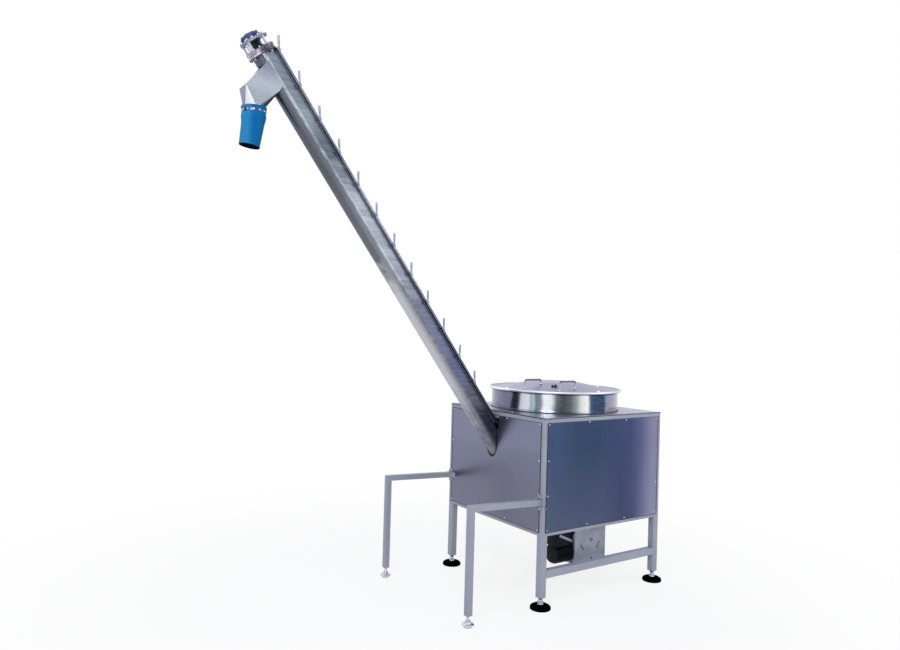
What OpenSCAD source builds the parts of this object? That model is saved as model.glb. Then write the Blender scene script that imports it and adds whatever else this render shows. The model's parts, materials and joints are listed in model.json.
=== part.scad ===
// Inclined screw feeder: a floor hopper in a box frame, an inclined U trough with a clamped cover
// that rises out of its left side, and a chute with a fabric sleeve at the top.
// Z = 0 is the floor. X runs from the discharge end to the hopper end, Y from the front to the back.

/* [Frame] */
// Width of the deck on each side of the drum along X
deck_side_x = 80; // [65:1:120]
// Width of the deck before and behind the drum along Y
deck_side_y = 55; // [50:1:120]
// Height of the frame's top above the floor
frame_top = 990; // [960:5:1080]
// Outer width of the square frame tube
tube = 40; // [30:1:50]
// Corner radius of the frame tube
tube_round = 4; // [2:0.5:6]
// Underside of the rails that close the box at its bottom
mid_rail_z = 378; // [340:1:430]
// Underside of the low front rail
low_rail_z = 158; // [120:1:200]

/* [Feet] */
// Height from the floor to the end of a post
foot_rise = 60; // [50:1:80]
// Diameter of a rubber foot pad
pad_d = 110; // [70:1:130]
// Height of a foot pad at its rim
pad_rim = 9; // [5:1:14]
// Height of the pad's dome above the rim
pad_dome = 17; // [10:1:22]
// Diameter of a levelling stud
stud_d = 16; // [10:1:20]
// Height of the tapered plug under a post
plug_h = 9; // [6:1:12]
// Diameter of the lock nut under a post
lock_nut_d = 24; // [20:1:30]
// Cut edge of a foot pad at the floor
pad_edge = 2; // [1:0.5:4]

/* [Panels] */
// Sheet thickness of the side panels
panel_t = 2; // [1.5:0.5:4]
// Distance from the frame's outer edges to the panels' edges
panel_inset = 22; // [12:1:30]
// Distance of the panels' lower edges above the mid rails' underside
panel_rise = 18; // [10:1:24]
// Sheet thickness of the deck
deck_t = 3; // [2:0.5:5]
// Distance from the frame's outer edges to the deck's edge
deck_inset = 10; // [6:1:16]

/* [Hopper] */
// Outer diameter of the hopper drum
drum_d = 750; // [640:5:770]
// Wall thickness of the hopper drum
drum_t = 3; // [2:0.5:5]
// Height of the drum above the frame's top
drum_up = 120; // [90:5:200]
// Height of the hopper floor's upper face
hopper_floor_z = 560; // [520:5:600]
// Thickness of the hopper floor
hopper_floor_t = 4; // [3:0.5:8]

/* [Lid] */
// Distance that the lid's rolled edge stands out beyond the drum
lid_over = 20; // [15:1:45]
// Diameter of the rolled edge
lid_roll_d = 14; // [10:1:18]
// Sheet thickness of the lid
lid_t = 2.5; // [1.5:0.5:4]
// Height that the lid's cone rises to its flat middle
lid_rise = 38; // [10:1:60]
// Diameter of the flat middle of the lid
lid_flat_d = 290; // [150:10:400]
// Width of the lid's flat rim round its cone
lid_flat_rim = 60; // [50:1:80]
// Length of a lid handle between its feet
handle_l = 132; // [90:2:160]
// Height of a lid handle
handle_h = 60; // [35:1:70]
// Diameter of the handle bar
handle_d = 10; // [8:1:14]
// Bend radius of the handle bar's corners
handle_bend = 14; // [10:1:20]

/* [Trough] */
// Slope of the trough above level
slope = 53; // [45:0.5:58]
// Drop from the frame's top to where the trough's flange plane crosses its left face
trough_drop = 71; // [66:1:110]
// Distance of the trough's middle plane behind the frame's middle plane
trough_y = 10; // [0:1:30]
// Outer width of the trough
trough_w = 86; // [76:1:110]
// Outer depth of the trough, from its flanges to its round bottom
trough_h = 110; // [100:1:130]
// Sheet thickness of the trough
trough_t = 3; // [2:0.5:4]
// Width of each flange of the trough
flange_w = 13; // [10:1:20]
// Length of the trough above the frame's left face
trough_up = 2254; // [1800:1:2600]
// Thickness of the cover sheet
cover_t = 2.5; // [2:0.5:4]
// Height of the cover's turned down lip
cover_lip = 8; // [5:1:12]
// Clearance of the panel's cut-out round the trough
cutout_gap = 4; // [2:0.5:8]

/* [Cover clamps] */
// Number of clamps along the cover
clamp_count = 12; // [6:1:16]
// Distance from the frame's face to the lowest clamp
clamp_first = 295; // [150:5:400]
// Distance from the highest clamp to the trough's end
clamp_end = 12; // [10:1:60]
// Width of a clamp's body along the cover
clamp_w = 18; // [12:1:20]
// Depth of a clamp's body beside the cover
clamp_body = 10; // [8:1:14]
// Height of a clamp's body above the cover
clamp_over = 2; // [1:0.5:4]
// Length of a clamp lever
clamp_lever = 62; // [40:1:80]
// Diameter of a clamp lever
clamp_lever_d = 9; // [6:1:12]

/* [Screw] */
// Diameter of the screw's shaft
shaft_d = 34; // [25:1:42]
// Running gap between the flight and the trough
flight_gap = 4; // [2:0.5:6]
// Pitch of the flight
flight_pitch = 82; // [70:1:110]
// Thickness of the flight
flight_t = 4; // [3:0.5:6]

/* [Head] */
// Diameter of the round head flange
head_flange_d = 140; // [136:1:170]
// Thickness of the two head flange plates with their gasket
head_flange_t = 30; // [20:1:36]
// Distance between neighbouring stand-off rods
rod_spacing = 76; // [73:1:84]
// Diameter of a stand-off rod
rod_d = 9; // [6:1:12]
// Length of a stand-off rod
rod_l = 40; // [30:1:60]
// Diameter of the screw's drive motor
head_motor_d = 90; // [80:1:92]
// Thickness of the motor's mounting plate
head_plate_t = 12; // [8:1:20]
// Height of the motor's lobed end cap
head_cap_h = 30; // [20:1:50]
// Number of lobes round the end cap
lobe_count = 5; // [3:1:8]
// Diameter of a lobe
lobe_d = 22; // [14:1:26]
// Diameter of the coupling housing between the rods
coupling_d = 86; // [60:1:90]
// Distance of the mounting plate's rim beyond the middle of the rods
plate_margin = 7; // [6:0.5:10]
// Width of a rod's nut across its corners
rod_nut_d = 15; // [12:1:16]
// Height of a rod's nut
rod_nut_h = 8; // [6:1:10]
// Height of the mauve port on the mounting plate's rim
port_h = 14; // [10:1:20]
// Diameter of the port's cap
port_d = 18; // [14:1:20]
// Distance of the head flange's middle above the screw's axis, square to the trough
flange_up = 12; // [0:1:14]
// Thickness of the gasket between the flange plates
gasket_t = 5; // [3:1:8]

/* [Discharge] */
// Drop from the trough's upper end to the chute's round outlet
outlet_drop = 282; // [260:1:300]
// Outer diameter of the round outlet
outlet_d = 102; // [96:1:112]
// Distance of the outlet's centre beyond the trough's upper end
outlet_reach = 80; // [70:1:90]
// Length of the chute's joint along the trough
chute_l = 122; // [110:1:140]
// Distance from the chute's joint to the trough's upper end
chute_end = 32; // [20:1:44]
// Height of the transition from the chute's square throat to its outlet
throat_h = 85; // [60:1:100]
// Flare of the chute's throat beyond the outlet on the trough's side
throat_flare = 52; // [35:1:60]
// Distance of the chute's outer face beyond the round outlet
chute_lip = 5; // [3:1:14]
// Margin of the opening in the trough inside the chute's joint
hole_margin = 6; // [4:1:12]
// Sheet thickness of the chute
chute_t = 2.5; // [2:0.5:4]
// Height of the round outlet collar
collar_h = 44; // [30:1:50]
// Length of the fabric sleeve
sleeve_l = 182; // [140:2:260]
// Distance of the sleeve's upper edge below the chute
sleeve_gap = 4; // [2:1:8]
// Wall of the fabric sleeve
sleeve_t = 3; // [2:0.5:5]
// Diameter of the sleeve's lower mouth
sleeve_mouth_d = 92; // [84:1:110]
// Distance that the sleeve's mouth hangs forward of its collar
sleeve_lean = 12; // [0:1:16]
// Width of the band clamp
band_w = 14; // [10:1:20]
// Thickness of the band clamp
band_t = 1.5; // [1:0.5:3]

/* [Outriggers] */
// Width of the square outrigger tube
arm_tube = 30; // [25:1:40]
// Reach of an outrigger from the frame's face to its leg's far face
arm_reach = 460; // [350:5:600]
// Level of the arm's top face at the post
arm_top = 571; // [520:1:620]
// Height that the arm rises to its leg
arm_rise = 17; // [0:1:30]
// Thickness of the clamp on the post
arm_clamp_t = 12; // [8:1:16]
// Height of the clamp beyond the arm on each side
arm_clamp_side = 26; // [20:1:32]
// Height of an outrigger's foot
arm_foot_rise = 56; // [45:1:70]
// Diameter of an outrigger's foot disc
arm_foot_d = 62; // [50:1:80]
// Thickness of an outrigger's foot disc
arm_disc_t = 6; // [4:1:9]
// Height of the step and of the cone under and over the disc
arm_step_h = 10; // [8:1:14]
// Diameter of an outrigger foot's stud
arm_stud_d = 12; // [8:1:16]

/* [Agitator drive] */
// Length of the gear case along X
case_x = 240; // [200:5:300]
// Depth of the gear case along Y
case_y = 116; // [90:2:160]
// Distance of the gear case's front plate behind the frame's front face
case_setback = 100; // [80:5:160]
// Underside of the gear case
case_z = 148; // [130:1:170]
// Diameter of the finned motor
motor_d = 110; // [90:2:130]
// Length of the finned motor
motor_l = 130; // [100:5:150]
// Thickness of the gear case's front and back plates
case_plate_t = 10; // [6:1:16]
// Distance of the gear case's body inside its plates
case_inset = 5; // [3:1:8]
// Drop from the mid rails' underside to the gear case's top
case_drop = 20; // [10:1:40]
// Thickness of the plates that the gear case hangs on
bearer_t = 8; // [6:1:12]
// Height of the motor above the gear case's underside
motor_up = 16; // [10:1:40]
// Depth of a cooling fin
fin_depth = 8; // [5:1:12]
// Thickness of a cooling fin
fin_t = 5; // [3:0.5:6]
// Number of cooling fins along the motor
fin_count = 9; // [5:1:12]

/* [Hidden] */
$fn = 48;

tiny = 0.01;
// Overshoot of a cut past the faces that it opens
cut = 1;
fit_gap = 0.3;
frame_x = drum_d + 2 * deck_side_x;
frame_y = drum_d + 2 * deck_side_y;
trough_z = frame_top - trough_drop;
trough_down = (trough_z - hopper_floor_z) / sin(slope);
head_x = trough_up * cos(slope);
head_z = trough_z + trough_up * sin(slope);
outlet_x = head_x + outlet_reach;
outlet_z = head_z - outlet_drop;
front = -frame_y / 2;
back = frame_y / 2;
drum_x = frame_x / 2;
drum_r = drum_d / 2;
drum_top = frame_top + drum_up;
chute_out = outlet_x + outlet_d / 2 + chute_lip;
plate_r = rod_spacing / sqrt(2) + plate_margin;
head_axis = trough_w / 2 - trough_h;
head_out = (trough_up + head_flange_t + rod_l + head_plate_t) * cos(slope) + (plate_r - head_axis) * sin(slope);
x_low = -max(chute_out, head_out);
x_high = frame_x - tube / 2 + pad_d / 2;
shift_x = -(x_low + x_high) / 2;
cover_w = trough_w + 2 * (flange_w + cover_t + fit_gap);

// Places its children in the frame whose origin lies on the floor under the middle of the part
module placed() {
    translate([shift_x, 0, 0]) children();
}

// X up the trough, Z square to its flanges, with its origin where the flanges cross the frame's face
module on_trough() {
    translate([0, trough_y, trough_z]) rotate([0, slope, 0]) rotate([0, 0, 180]) children();
}

module square_tube(l, w) {
    translate([tube_round, tube_round, 0]) linear_extrude(l) union() {
        difference() {
            translate([-tube_round, -tube_round]) square(w);
            for (x = [0, 1], y = [0, 1]) translate([x * (w - 2 * tube_round), y * (w - 2 * tube_round)])
                translate([(x - 1) * tube_round, (y - 1) * tube_round]) square(tube_round);
        }
        for (x = [0, 1], y = [0, 1]) translate([x * (w - 2 * tube_round), y * (w - 2 * tube_round)])
            circle(tube_round);
    }
}

module post(x, y) {
    color("lightsteelblue") placed()
        translate([x, y, foot_rise]) square_tube(frame_top - foot_rise, tube);
}

module rail_x(y, z) {
    color("lightsteelblue") placed()
        translate([tube, y, z + tube]) rotate([0, 90, 0]) square_tube(frame_x - 2 * tube, tube);
}

module rail_y(x, z) {
    color("lightsteelblue") placed()
        translate([x, front + tube, z + tube]) rotate([-90, 0, 0]) square_tube(frame_y - 2 * tube, tube);
}

module post_front_left() post(0, front);
module post_front_right() post(frame_x - tube, front);
module post_back_left() post(0, back - tube);
module post_back_right() post(frame_x - tube, back - tube);
module top_rail_front() rail_x(front, frame_top - tube);
module top_rail_back() rail_x(back - tube, frame_top - tube);
module top_rail_left() rail_y(0, frame_top - tube);
module top_rail_right() rail_y(frame_x - tube, frame_top - tube);
module mid_rail_front() rail_x(front, mid_rail_z);
module mid_rail_back() rail_x(back - tube, mid_rail_z);
module mid_rail_left() rail_y(0, mid_rail_z);
module mid_rail_right() rail_y(frame_x - tube, mid_rail_z);
module low_rail_front() rail_x(front, low_rail_z);

panel_low = mid_rail_z + panel_rise;
panel_high = frame_top - panel_inset;
// Drop of the wide part of the trough's cut-out below the flange plane
slot_low = 3 * cover_lip;
panel_h = panel_high - panel_low;

module panel_xz(y) {
    color("slategray") placed()
        translate([panel_inset, y, panel_low]) cube([frame_x - 2 * panel_inset, panel_t, panel_h]);
}

module panel_front() panel_xz(front - panel_t);
module panel_back() panel_xz(back);
module panel_right() {
    color("slategray") placed()
        translate([frame_x, front + panel_inset, panel_low]) cube([panel_t, frame_y - 2 * panel_inset, panel_h]);
}
module panel_left() {
    color("slategray") placed() difference() {
        translate([-panel_t, front + panel_inset, panel_low])
            cube([panel_t, frame_y - 2 * panel_inset, panel_h]);
        on_trough() trough_block(cutout_gap, -2 * trough_h, trough_h);
        for (y = arm_y) translate([-panel_t - cut, y - cutout_gap, arm_clamp_z - arm_clamp_h / 2 - cutout_gap])
            cube([panel_t + 2 * cut, arm_tube + 2 * cutout_gap, arm_clamp_h + 2 * cutout_gap]);
        translate([-panel_t - cut, trough_y - cover_w / 2 - cutout_gap, trough_z - slot_low])
            cube([panel_t + 2 * cut, cover_w + 2 * cutout_gap, trough_drop + slot_low]);
    }
}

module deck_plate() {
    color("silver") placed() difference() {
        translate([deck_inset, front + deck_inset, frame_top])
            cube([frame_x - 2 * deck_inset, frame_y - 2 * deck_inset, deck_t]);
        translate([drum_x, 0, frame_top - cut]) cylinder(r = drum_r + fit_gap, h = deck_t + 2 * cut, $fn = 96);
    }
}

// Solid round pad with a domed top, a stud and a lock nut against the post
module foot(x, y) {
    placed() translate([x, y, 0]) {
        color("black") rotate_extrude($fn = 64) polygon(concat([[0, 0], [pad_d / 2 - pad_edge, 0],
            [pad_d / 2, pad_edge], [pad_d / 2, pad_rim]],
            [for (a = [15:15:75]) [stud_d + (pad_d / 2 - stud_d) * cos(a), pad_rim + pad_dome * sin(a)]],
            [[stud_d, pad_rim + pad_dome], [0, pad_rim + pad_dome]]));
        color("silver") translate([0, 0, pad_rim + pad_dome]) {
            cylinder(d = stud_d, h = foot_rise - pad_rim - pad_dome);
            translate([0, 0, foot_rise - pad_rim - pad_dome - plug_h])
                cylinder(d1 = lock_nut_d, d2 = tube - tube_round, h = plug_h);
        }
    }
}

module foot_front_left() foot(tube / 2, front + tube / 2);
module foot_front_right() foot(frame_x - tube / 2, front + tube / 2);
module foot_back_left() foot(tube / 2, back - tube / 2);
module foot_back_right() foot(frame_x - tube / 2, back - tube / 2);

// Outer form of the trough grown by a clearance, from one place along it to another
module trough_block(grow, from, to) {
    w = trough_w + 2 * grow;
    translate([from, 0, head_axis]) rotate([0, 90, 0]) cylinder(d = w, h = to - from);
    translate([from, -w / 2, head_axis]) cube([to - from, w, trough_h - trough_w / 2 + grow]);
}

// Room for the trough and its cover where they pass through the hopper's wall and floor
module trough_slot() {
    on_trough() {
        trough_block(fit_gap, -trough_down - tube, 0);
        translate([-trough_down - tube, -cover_w / 2 - fit_gap, -cover_lip - fit_gap])
            cube([trough_down + tube, cover_w + 2 * fit_gap, cover_lip + cover_t + 2 * fit_gap]);
    }
}

module hopper_drum() {
    color("silver") placed() difference() {
        translate([drum_x, 0, hopper_floor_z - hopper_floor_t])
            cylinder(r = drum_r, h = drum_top - hopper_floor_z + hopper_floor_t, $fn = 96);
        translate([drum_x, 0, hopper_floor_z - hopper_floor_t - cut])
            cylinder(r = drum_r - drum_t, h = drum_top - hopper_floor_z + hopper_floor_t + 2 * cut, $fn = 96);
        trough_slot();
    }
}

module hopper_floor() {
    color("silver") placed() difference() {
        translate([drum_x, 0, hopper_floor_z - hopper_floor_t])
            cylinder(r = drum_r - drum_t, h = hopper_floor_t, $fn = 96);
        trough_slot();
    }
}

lid_r = drum_r + lid_over;
lid_cone_r = lid_r - lid_flat_rim;
roll_r = lid_roll_d / 2;

module lid() {
    color("lavender") placed() translate([drum_x, 0, drum_top]) rotate_extrude($fn = 96) union() {
        polygon([[0, lid_rise], [lid_flat_d / 2, lid_rise], [lid_cone_r, 0], [lid_r - roll_r, 0],
            [lid_r - roll_r, lid_t], [lid_cone_r, lid_t], [lid_flat_d / 2, lid_rise + lid_t], [0, lid_rise + lid_t]]);
        translate([lid_r - roll_r, 0]) circle(roll_r, $fn = 24);
    }
}

// Places of the two handles on the lid, from its middle, as shares of its half width
handle_at = [[-0.57, -0.162], [-0.299, -0.605]] * lid_r;
handle_top = drum_top + lid_t + handle_h;

// One handle bar with two feet that run down into the lid, where the lid's form is cut away from them
module handle() {
    bar_z = handle_top - handle_d / 2;
    translate([handle_bend - handle_l / 2, 0, bar_z]) rotate([0, 90, 0])
        cylinder(d = handle_d, h = handle_l - 2 * handle_bend);
    for (s = [0, 1]) mirror([s, 0, 0]) translate([handle_l / 2, 0, 0]) {
        translate([0, 0, drum_top]) cylinder(d = handle_d, h = bar_z - handle_bend - drum_top);
        translate([-handle_bend, 0, bar_z - handle_bend]) rotate([90, 0, 0])
            rotate_extrude(angle = 90) translate([handle_bend, 0]) circle(d = handle_d);
    }
}

module lid_handles() {
    color("silver") placed() translate([drum_x, 0, 0]) difference() {
        for (p = handle_at) translate(p) handle();
        translate([0, 0, drum_top]) rotate_extrude($fn = 96) polygon([[0, -lid_t], [0, lid_rise + lid_t],
            [lid_flat_d / 2, lid_rise + lid_t], [lid_cone_r, lid_t], [lid_r, lid_t], [lid_r, -lid_t]]);
    }
}

module trough() {
    color("lightslategray") placed() on_trough() difference() {
        union() {
            trough_block(0, -trough_down, trough_up);
            translate([-trough_down, -trough_w / 2 - flange_w, -trough_t])
                cube([trough_down + trough_up, trough_w + 2 * flange_w, trough_t]);
        }
        translate([-trough_down + trough_t, 0, head_axis]) rotate([0, 90, 0])
            cylinder(d = trough_w - 2 * trough_t, h = trough_down + trough_up);
        translate([-trough_down + trough_t, -trough_w / 2 + trough_t, head_axis])
            cube([trough_down + trough_up, trough_w - 2 * trough_t, trough_h]);
        translate([chute_low, 0, head_axis]) outlet_hole();
    }
}

chute_high = trough_up - chute_end;
chute_low = chute_high - chute_l;

// Opening in the trough's round bottom over the chute
module outlet_hole() {
    translate([hole_margin, -trough_w, -trough_w])
        cube([chute_high - chute_low - 2 * hole_margin, 2 * trough_w, trough_w]);
}

cover_start = -(drum_x - drum_r) / cos(slope);

module trough_cover() {
    w = cover_w;
    color("silver") placed() on_trough() translate([cover_start, 0, 0]) {
        translate([0, -w / 2, 0]) cube([trough_up - cover_start, w, cover_t]);
        for (s = [-1, 1]) translate([0, s * (w - cover_t) / 2 - cover_t / 2, -cover_lip])
            cube([trough_up - cover_start, cover_t, cover_lip]);
    }
}

clamp_pitch = (trough_up - clamp_end - clamp_first) / (clamp_count - 1);

module cover_clamps() {
    color("silver") placed() for (i = [0:clamp_count - 1]) on_trough()
        translate([clamp_first + i * clamp_pitch, cover_w / 2, 0]) {
            translate([-clamp_w / 2, 0, -cover_lip]) cube([clamp_w, clamp_body, cover_lip + cover_t + clamp_over]);
            translate([0, clamp_body / 2, 0]) rotate([0, slope, 0]) cylinder(d = clamp_lever_d, h = clamp_lever);
        }
}

flange_plate = (head_flange_t - gasket_t) / 2;

// Two plates with a gasket between them, on the end of the trough
module head_flange() {
    color("dimgray") placed() on_trough() translate([trough_up, 0, head_axis]) rotate([0, 90, 0]) difference() {
        translate([-flange_up, 0, 0]) {
            cylinder(d = head_flange_d, h = flange_plate);
            translate([0, 0, flange_plate]) cylinder(d = head_flange_d - 2 * gasket_t, h = gasket_t);
            translate([0, 0, flange_plate + gasket_t]) cylinder(d = head_flange_d, h = flange_plate);
        }
        translate([0, 0, -cut]) cylinder(d = shaft_d + 2 * fit_gap, h = head_flange_t + 2 * cut);
    }
}

module screw() {
    color("gray") placed() on_trough() translate([-trough_down + trough_t, 0, head_axis])
        rotate([0, 90, 0]) cylinder(d = shaft_d, h = trough_down + trough_up - trough_t + head_flange_t);
}

// Helical flight round the shaft, from above the trough's end plate to below the head flange
flight_sides = 12;
flight_low = -trough_down + trough_t + flight_gap;
flight_turns = floor((trough_up - flight_gap - flight_t - flight_low) / flight_pitch);
flight_steps = flight_turns * flight_sides;
flight_in = (shaft_d / 2 + fit_gap) / cos(180 / flight_sides);
flight_out = trough_w / 2 - trough_t - flight_gap;

module screw_flight() {
    corners = [[flight_in, 0], [flight_out, 0], [flight_out, flight_t], [flight_in, flight_t]];
    points = [for (i = [0:flight_steps], c = corners) let(a = i * 360 / flight_sides)
        [c[0] * cos(a), c[0] * sin(a), c[1] + i * flight_pitch / flight_sides]];
    sides = [for (i = [0:flight_steps - 1], k = [0:3]) let(a = 4 * i + k, b = 4 * i + (k + 1) % 4)
        each [[a, a + 4, b], [b, a + 4, b + 4]]];
    last = 4 * flight_steps;
    color("silver") placed() on_trough() translate([flight_low, 0, head_axis]) rotate([0, 90, 0])
        polyhedron(points, concat([[0, 1, 2], [0, 2, 3]], sides,
            [[last, last + 2, last + 1], [last, last + 3, last + 2]]));
}

rod_base = trough_up + head_flange_t;

// Rods between the flange and the mounting plate, with their nuts on the plate's far side
module standoff_rods() {
    color("silver") placed() on_trough() for (y = [-1, 1], z = [-1, 1])
        translate([rod_base, y * rod_spacing / 2, head_axis + z * rod_spacing / 2]) rotate([0, 90, 0]) {
            cylinder(d = rod_d, h = rod_l);
            translate([0, 0, rod_l + head_plate_t]) cylinder(d = rod_nut_d, h = rod_nut_h, $fn = 6);
        }
}

cap_base = rod_l + head_plate_t;

// Profile of the motor's end cap, as shares of its diameter and height
cap_profile = [[0, 0], [0.5, 0], [0.5, 0.35], [0.44, 0.6], [0.34, 0.82], [0.18, 1], [0, 1]];
lobe_share = 0.8;

// Coupling housing between the rods, the mounting plate and the motor's lobed end
module screw_motor() {
    color("midnightblue") placed() on_trough() translate([rod_base, 0, head_axis]) rotate([0, 90, 0]) {
        cylinder(d = coupling_d, h = rod_l);
        translate([0, 0, rod_l]) cylinder(r = plate_r, h = head_plate_t);
        translate([0, 0, cap_base]) rotate_extrude()
            polygon([for (p = cap_profile) [p[0] * head_motor_d, p[1] * head_cap_h]]);
        for (a = [0:360 / lobe_count:359]) rotate(a) translate([head_motor_d / 2 - lobe_d / 2, 0, cap_base])
            cylinder(d = lobe_d, h = head_cap_h * lobe_share);
    }
}

// Port on the rim of the motor's mounting plate
module motor_port() {
    color("mediumpurple") placed() on_trough() difference() {
        translate([rod_base + rod_l + head_plate_t / 2, 0, head_axis + plate_r]) {
            translate([0, 0, -head_plate_t / 2]) cylinder(d = head_plate_t, h = port_h + head_plate_t / 2);
            translate([0, 0, port_h]) sphere(d = port_d);
        }
        translate([rod_base + rod_l - cut, 0, head_axis]) rotate([0, 90, 0])
            cylinder(r = plate_r, h = head_plate_t + 2 * cut);
    }
}

// Corners of the chute's side plates in the plane of X and Z, measured from the frame's left face
function trough_point(s, n) = [-s * cos(slope) + n * sin(slope), trough_z + s * sin(slope) + n * cos(slope)];
joint_n = head_axis;
chute_top_up = trough_point(chute_high, joint_n);
chute_top_low = trough_point(chute_low, joint_n);
throat_z = outlet_z + throat_h;
throat_x = -outlet_x + outlet_d / 2 + throat_flare;

module chute_block(grow) {
    w = trough_w + 2 * (fit_gap + chute_t) - 2 * grow;
    hull() {
        translate([0, trough_y + w / 2, 0]) rotate([90, 0, 0]) linear_extrude(w) polygon([
            chute_top_up + [0, grow], chute_top_low + [-grow, 0],
            [throat_x - grow, throat_z], [-chute_out + grow, throat_z]]);
    }
    hull() {
        translate([0, trough_y + w / 2, 0]) rotate([90, 0, 0]) linear_extrude(w) polygon([
            [throat_x - grow, throat_z + tiny], [-chute_out + grow, throat_z + tiny],
            [-chute_out + grow, throat_z - tiny], [throat_x - grow, throat_z - tiny]]);
        translate([-outlet_x, trough_y, outlet_z]) cylinder(d = outlet_d - 2 * grow, h = tiny, $fn = 32);
    }
}

module discharge_chute() {
    color("lightslategray") placed() difference() {
        chute_block(0);
        chute_block(chute_t);
        on_trough() trough_block(fit_gap, chute_low - trough_h, trough_up + trough_h);
        translate([-outlet_x, trough_y, outlet_z - cut])
            cylinder(d = outlet_d - 2 * chute_t, h = chute_t + 2 * cut, $fn = 32);
    }
}

module outlet_collar() {
    color("silver") placed() translate([-outlet_x, trough_y, outlet_z - collar_h]) difference() {
        cylinder(d = outlet_d, h = collar_h);
        translate([0, 0, -cut]) cylinder(d = outlet_d - 2 * chute_t, h = collar_h + 2 * cut);
    }
}

sleeve_in = outlet_d + 2 * fit_gap;
band_in = sleeve_in + 2 * sleeve_t + 2 * fit_gap;

module sleeve_clamp() {
    color("silver") placed() translate([-outlet_x, trough_y, outlet_z - collar_h / 2 - band_w / 2]) {
        difference() {
            cylinder(d = band_in + 2 * band_t, h = band_w);
            translate([0, 0, -cut]) cylinder(d = band_in, h = band_w + 2 * cut);
        }
    }
}

// Slanted tube from the collar to the lower mouth
module sleeve_form(wall) {
    top_d = sleeve_in + 2 * wall;
    hull() {
        translate([-outlet_x, trough_y, outlet_z - collar_h]) cylinder(d = top_d, h = tiny, $fn = 32);
        translate([-outlet_x - sleeve_lean, trough_y, outlet_z - sleeve_l])
            cylinder(d = sleeve_mouth_d + 2 * wall, h = tiny, $fn = 32);
    }
    translate([-outlet_x, trough_y, outlet_z - collar_h]) cylinder(d = top_d, h = collar_h - sleeve_gap, $fn = 32);
}

module discharge_sleeve() {
    color("steelblue") placed() difference() {
        sleeve_form(sleeve_t);
        sleeve_form(0);
        translate([-outlet_x, trough_y, outlet_z - sleeve_gap - cut]) cylinder(d = sleeve_in, h = 2 * cut, $fn = 32);
        translate([-outlet_x - sleeve_lean, trough_y, outlet_z - sleeve_l - cut])
            cylinder(d = sleeve_mouth_d, h = 2 * cut, $fn = 32);
    }
}

arm_y = [front + (tube - arm_tube) / 2, back - (tube + arm_tube) / 2];
arm_clamp_z = arm_top - arm_tube / 2;
arm_clamp_h = arm_tube + 2 * arm_clamp_side;

// Arm that rises from the post to the leg, and the leg down to its foot
module outrigger(y) {
    inner = arm_tube - arm_reach;
    color("lightsteelblue") placed() translate([0, y + arm_tube, 0]) rotate([90, 0, 0]) linear_extrude(arm_tube)
        polygon([[0, arm_top], [0, arm_top - arm_tube], [inner, arm_top + arm_rise - arm_tube],
            [inner, arm_foot_rise], [-arm_reach, arm_foot_rise], [-arm_reach, arm_top + arm_rise],
            [inner, arm_top + arm_rise]]);
}

module outrigger_front() outrigger(arm_y[0]);
module outrigger_back() outrigger(arm_y[1]);

module outrigger_clamps() {
    color("silver") placed() for (y = arm_y) translate([-arm_clamp_t, y, arm_clamp_z]) difference() {
        translate([0, 0, -arm_clamp_h / 2]) cube([arm_clamp_t, arm_tube, arm_clamp_h]);
        translate([-cut, -cut, -arm_tube / 2 - fit_gap])
            cube([arm_clamp_t + 2 * cut, arm_tube + 2 * cut,
                arm_tube + 2 * fit_gap + arm_rise * arm_clamp_t / arm_reach]);
    }
}

// Share of the disc's width that the foot's step and cone have
foot_step = 0.68;

module outrigger_feet() {
    color("silver") placed() for (y = arm_y) translate([-arm_reach + arm_tube / 2, y + arm_tube / 2, 0]) {
        cylinder(d = arm_foot_d * foot_step, h = arm_step_h);
        translate([0, 0, arm_step_h]) cylinder(d = arm_foot_d, h = arm_disc_t);
        translate([0, 0, arm_step_h + arm_disc_t])
            cylinder(d1 = arm_foot_d * foot_step, d2 = arm_stud_d + fit_gap, h = arm_step_h + arm_disc_t);
        cylinder(d = arm_stud_d, h = arm_foot_rise);
    }
}

case_front = front + case_setback;
case_top = mid_rail_z - case_drop;
case_left = drum_x - case_x / 2;

// Two plates that hang the gear case from the hopper's floor
module drive_bearer() {
    color("dimgray") placed() for (x = [case_left + case_inset, case_left + case_x - case_inset - bearer_t])
        translate([x, case_front + case_inset, case_top])
            cube([bearer_t, case_y - 2 * case_inset, hopper_floor_z - hopper_floor_t - case_top]);
}

// Body with a larger plate at its front and its back
module gear_case() {
    color("gray") placed() translate([case_left, case_front, case_z]) {
        translate([case_inset, 0, case_inset]) cube([case_x - 2 * case_inset, case_y, case_top - case_z - case_inset]);
        for (y = [0, case_y - case_plate_t]) translate([0, y, 0]) cube([case_x, case_plate_t, case_top - case_z]);
    }
}

// Motor along X with a ring of round fins and an end plate
module finned_motor() {
    fin_run = motor_l - 2 * fin_t;
    color("black") placed()
        translate([case_left + case_inset, case_front + case_y / 2, case_z + motor_d / 2 + motor_up]) rotate([0, -90, 0]) {
            cylinder(d = motor_d - 2 * fin_depth, h = motor_l);
            for (i = [0:fin_count]) translate([0, 0, case_inset + fin_t + i * fin_run / (fin_count + 1)])
                cylinder(d = motor_d, h = fin_t);
        }
}

post_front_left();
post_front_right();
post_back_left();
post_back_right();
top_rail_front();
top_rail_back();
top_rail_left();
top_rail_right();
mid_rail_front();
mid_rail_back();
mid_rail_left();
mid_rail_right();
low_rail_front();
panel_front();
panel_back();
panel_left();
panel_right();
deck_plate();
foot_front_left();
foot_front_right();
foot_back_left();
foot_back_right();
hopper_drum();
hopper_floor();
lid();
lid_handles();
trough();
trough_cover();
cover_clamps();
head_flange();
screw();
screw_flight();
standoff_rods();
screw_motor();
motor_port();
discharge_chute();
outlet_collar();
sleeve_clamp();
discharge_sleeve();
outrigger_front();
outrigger_back();
outrigger_clamps();
outrigger_feet();
drive_bearer();
gear_case();
finned_motor();
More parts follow.
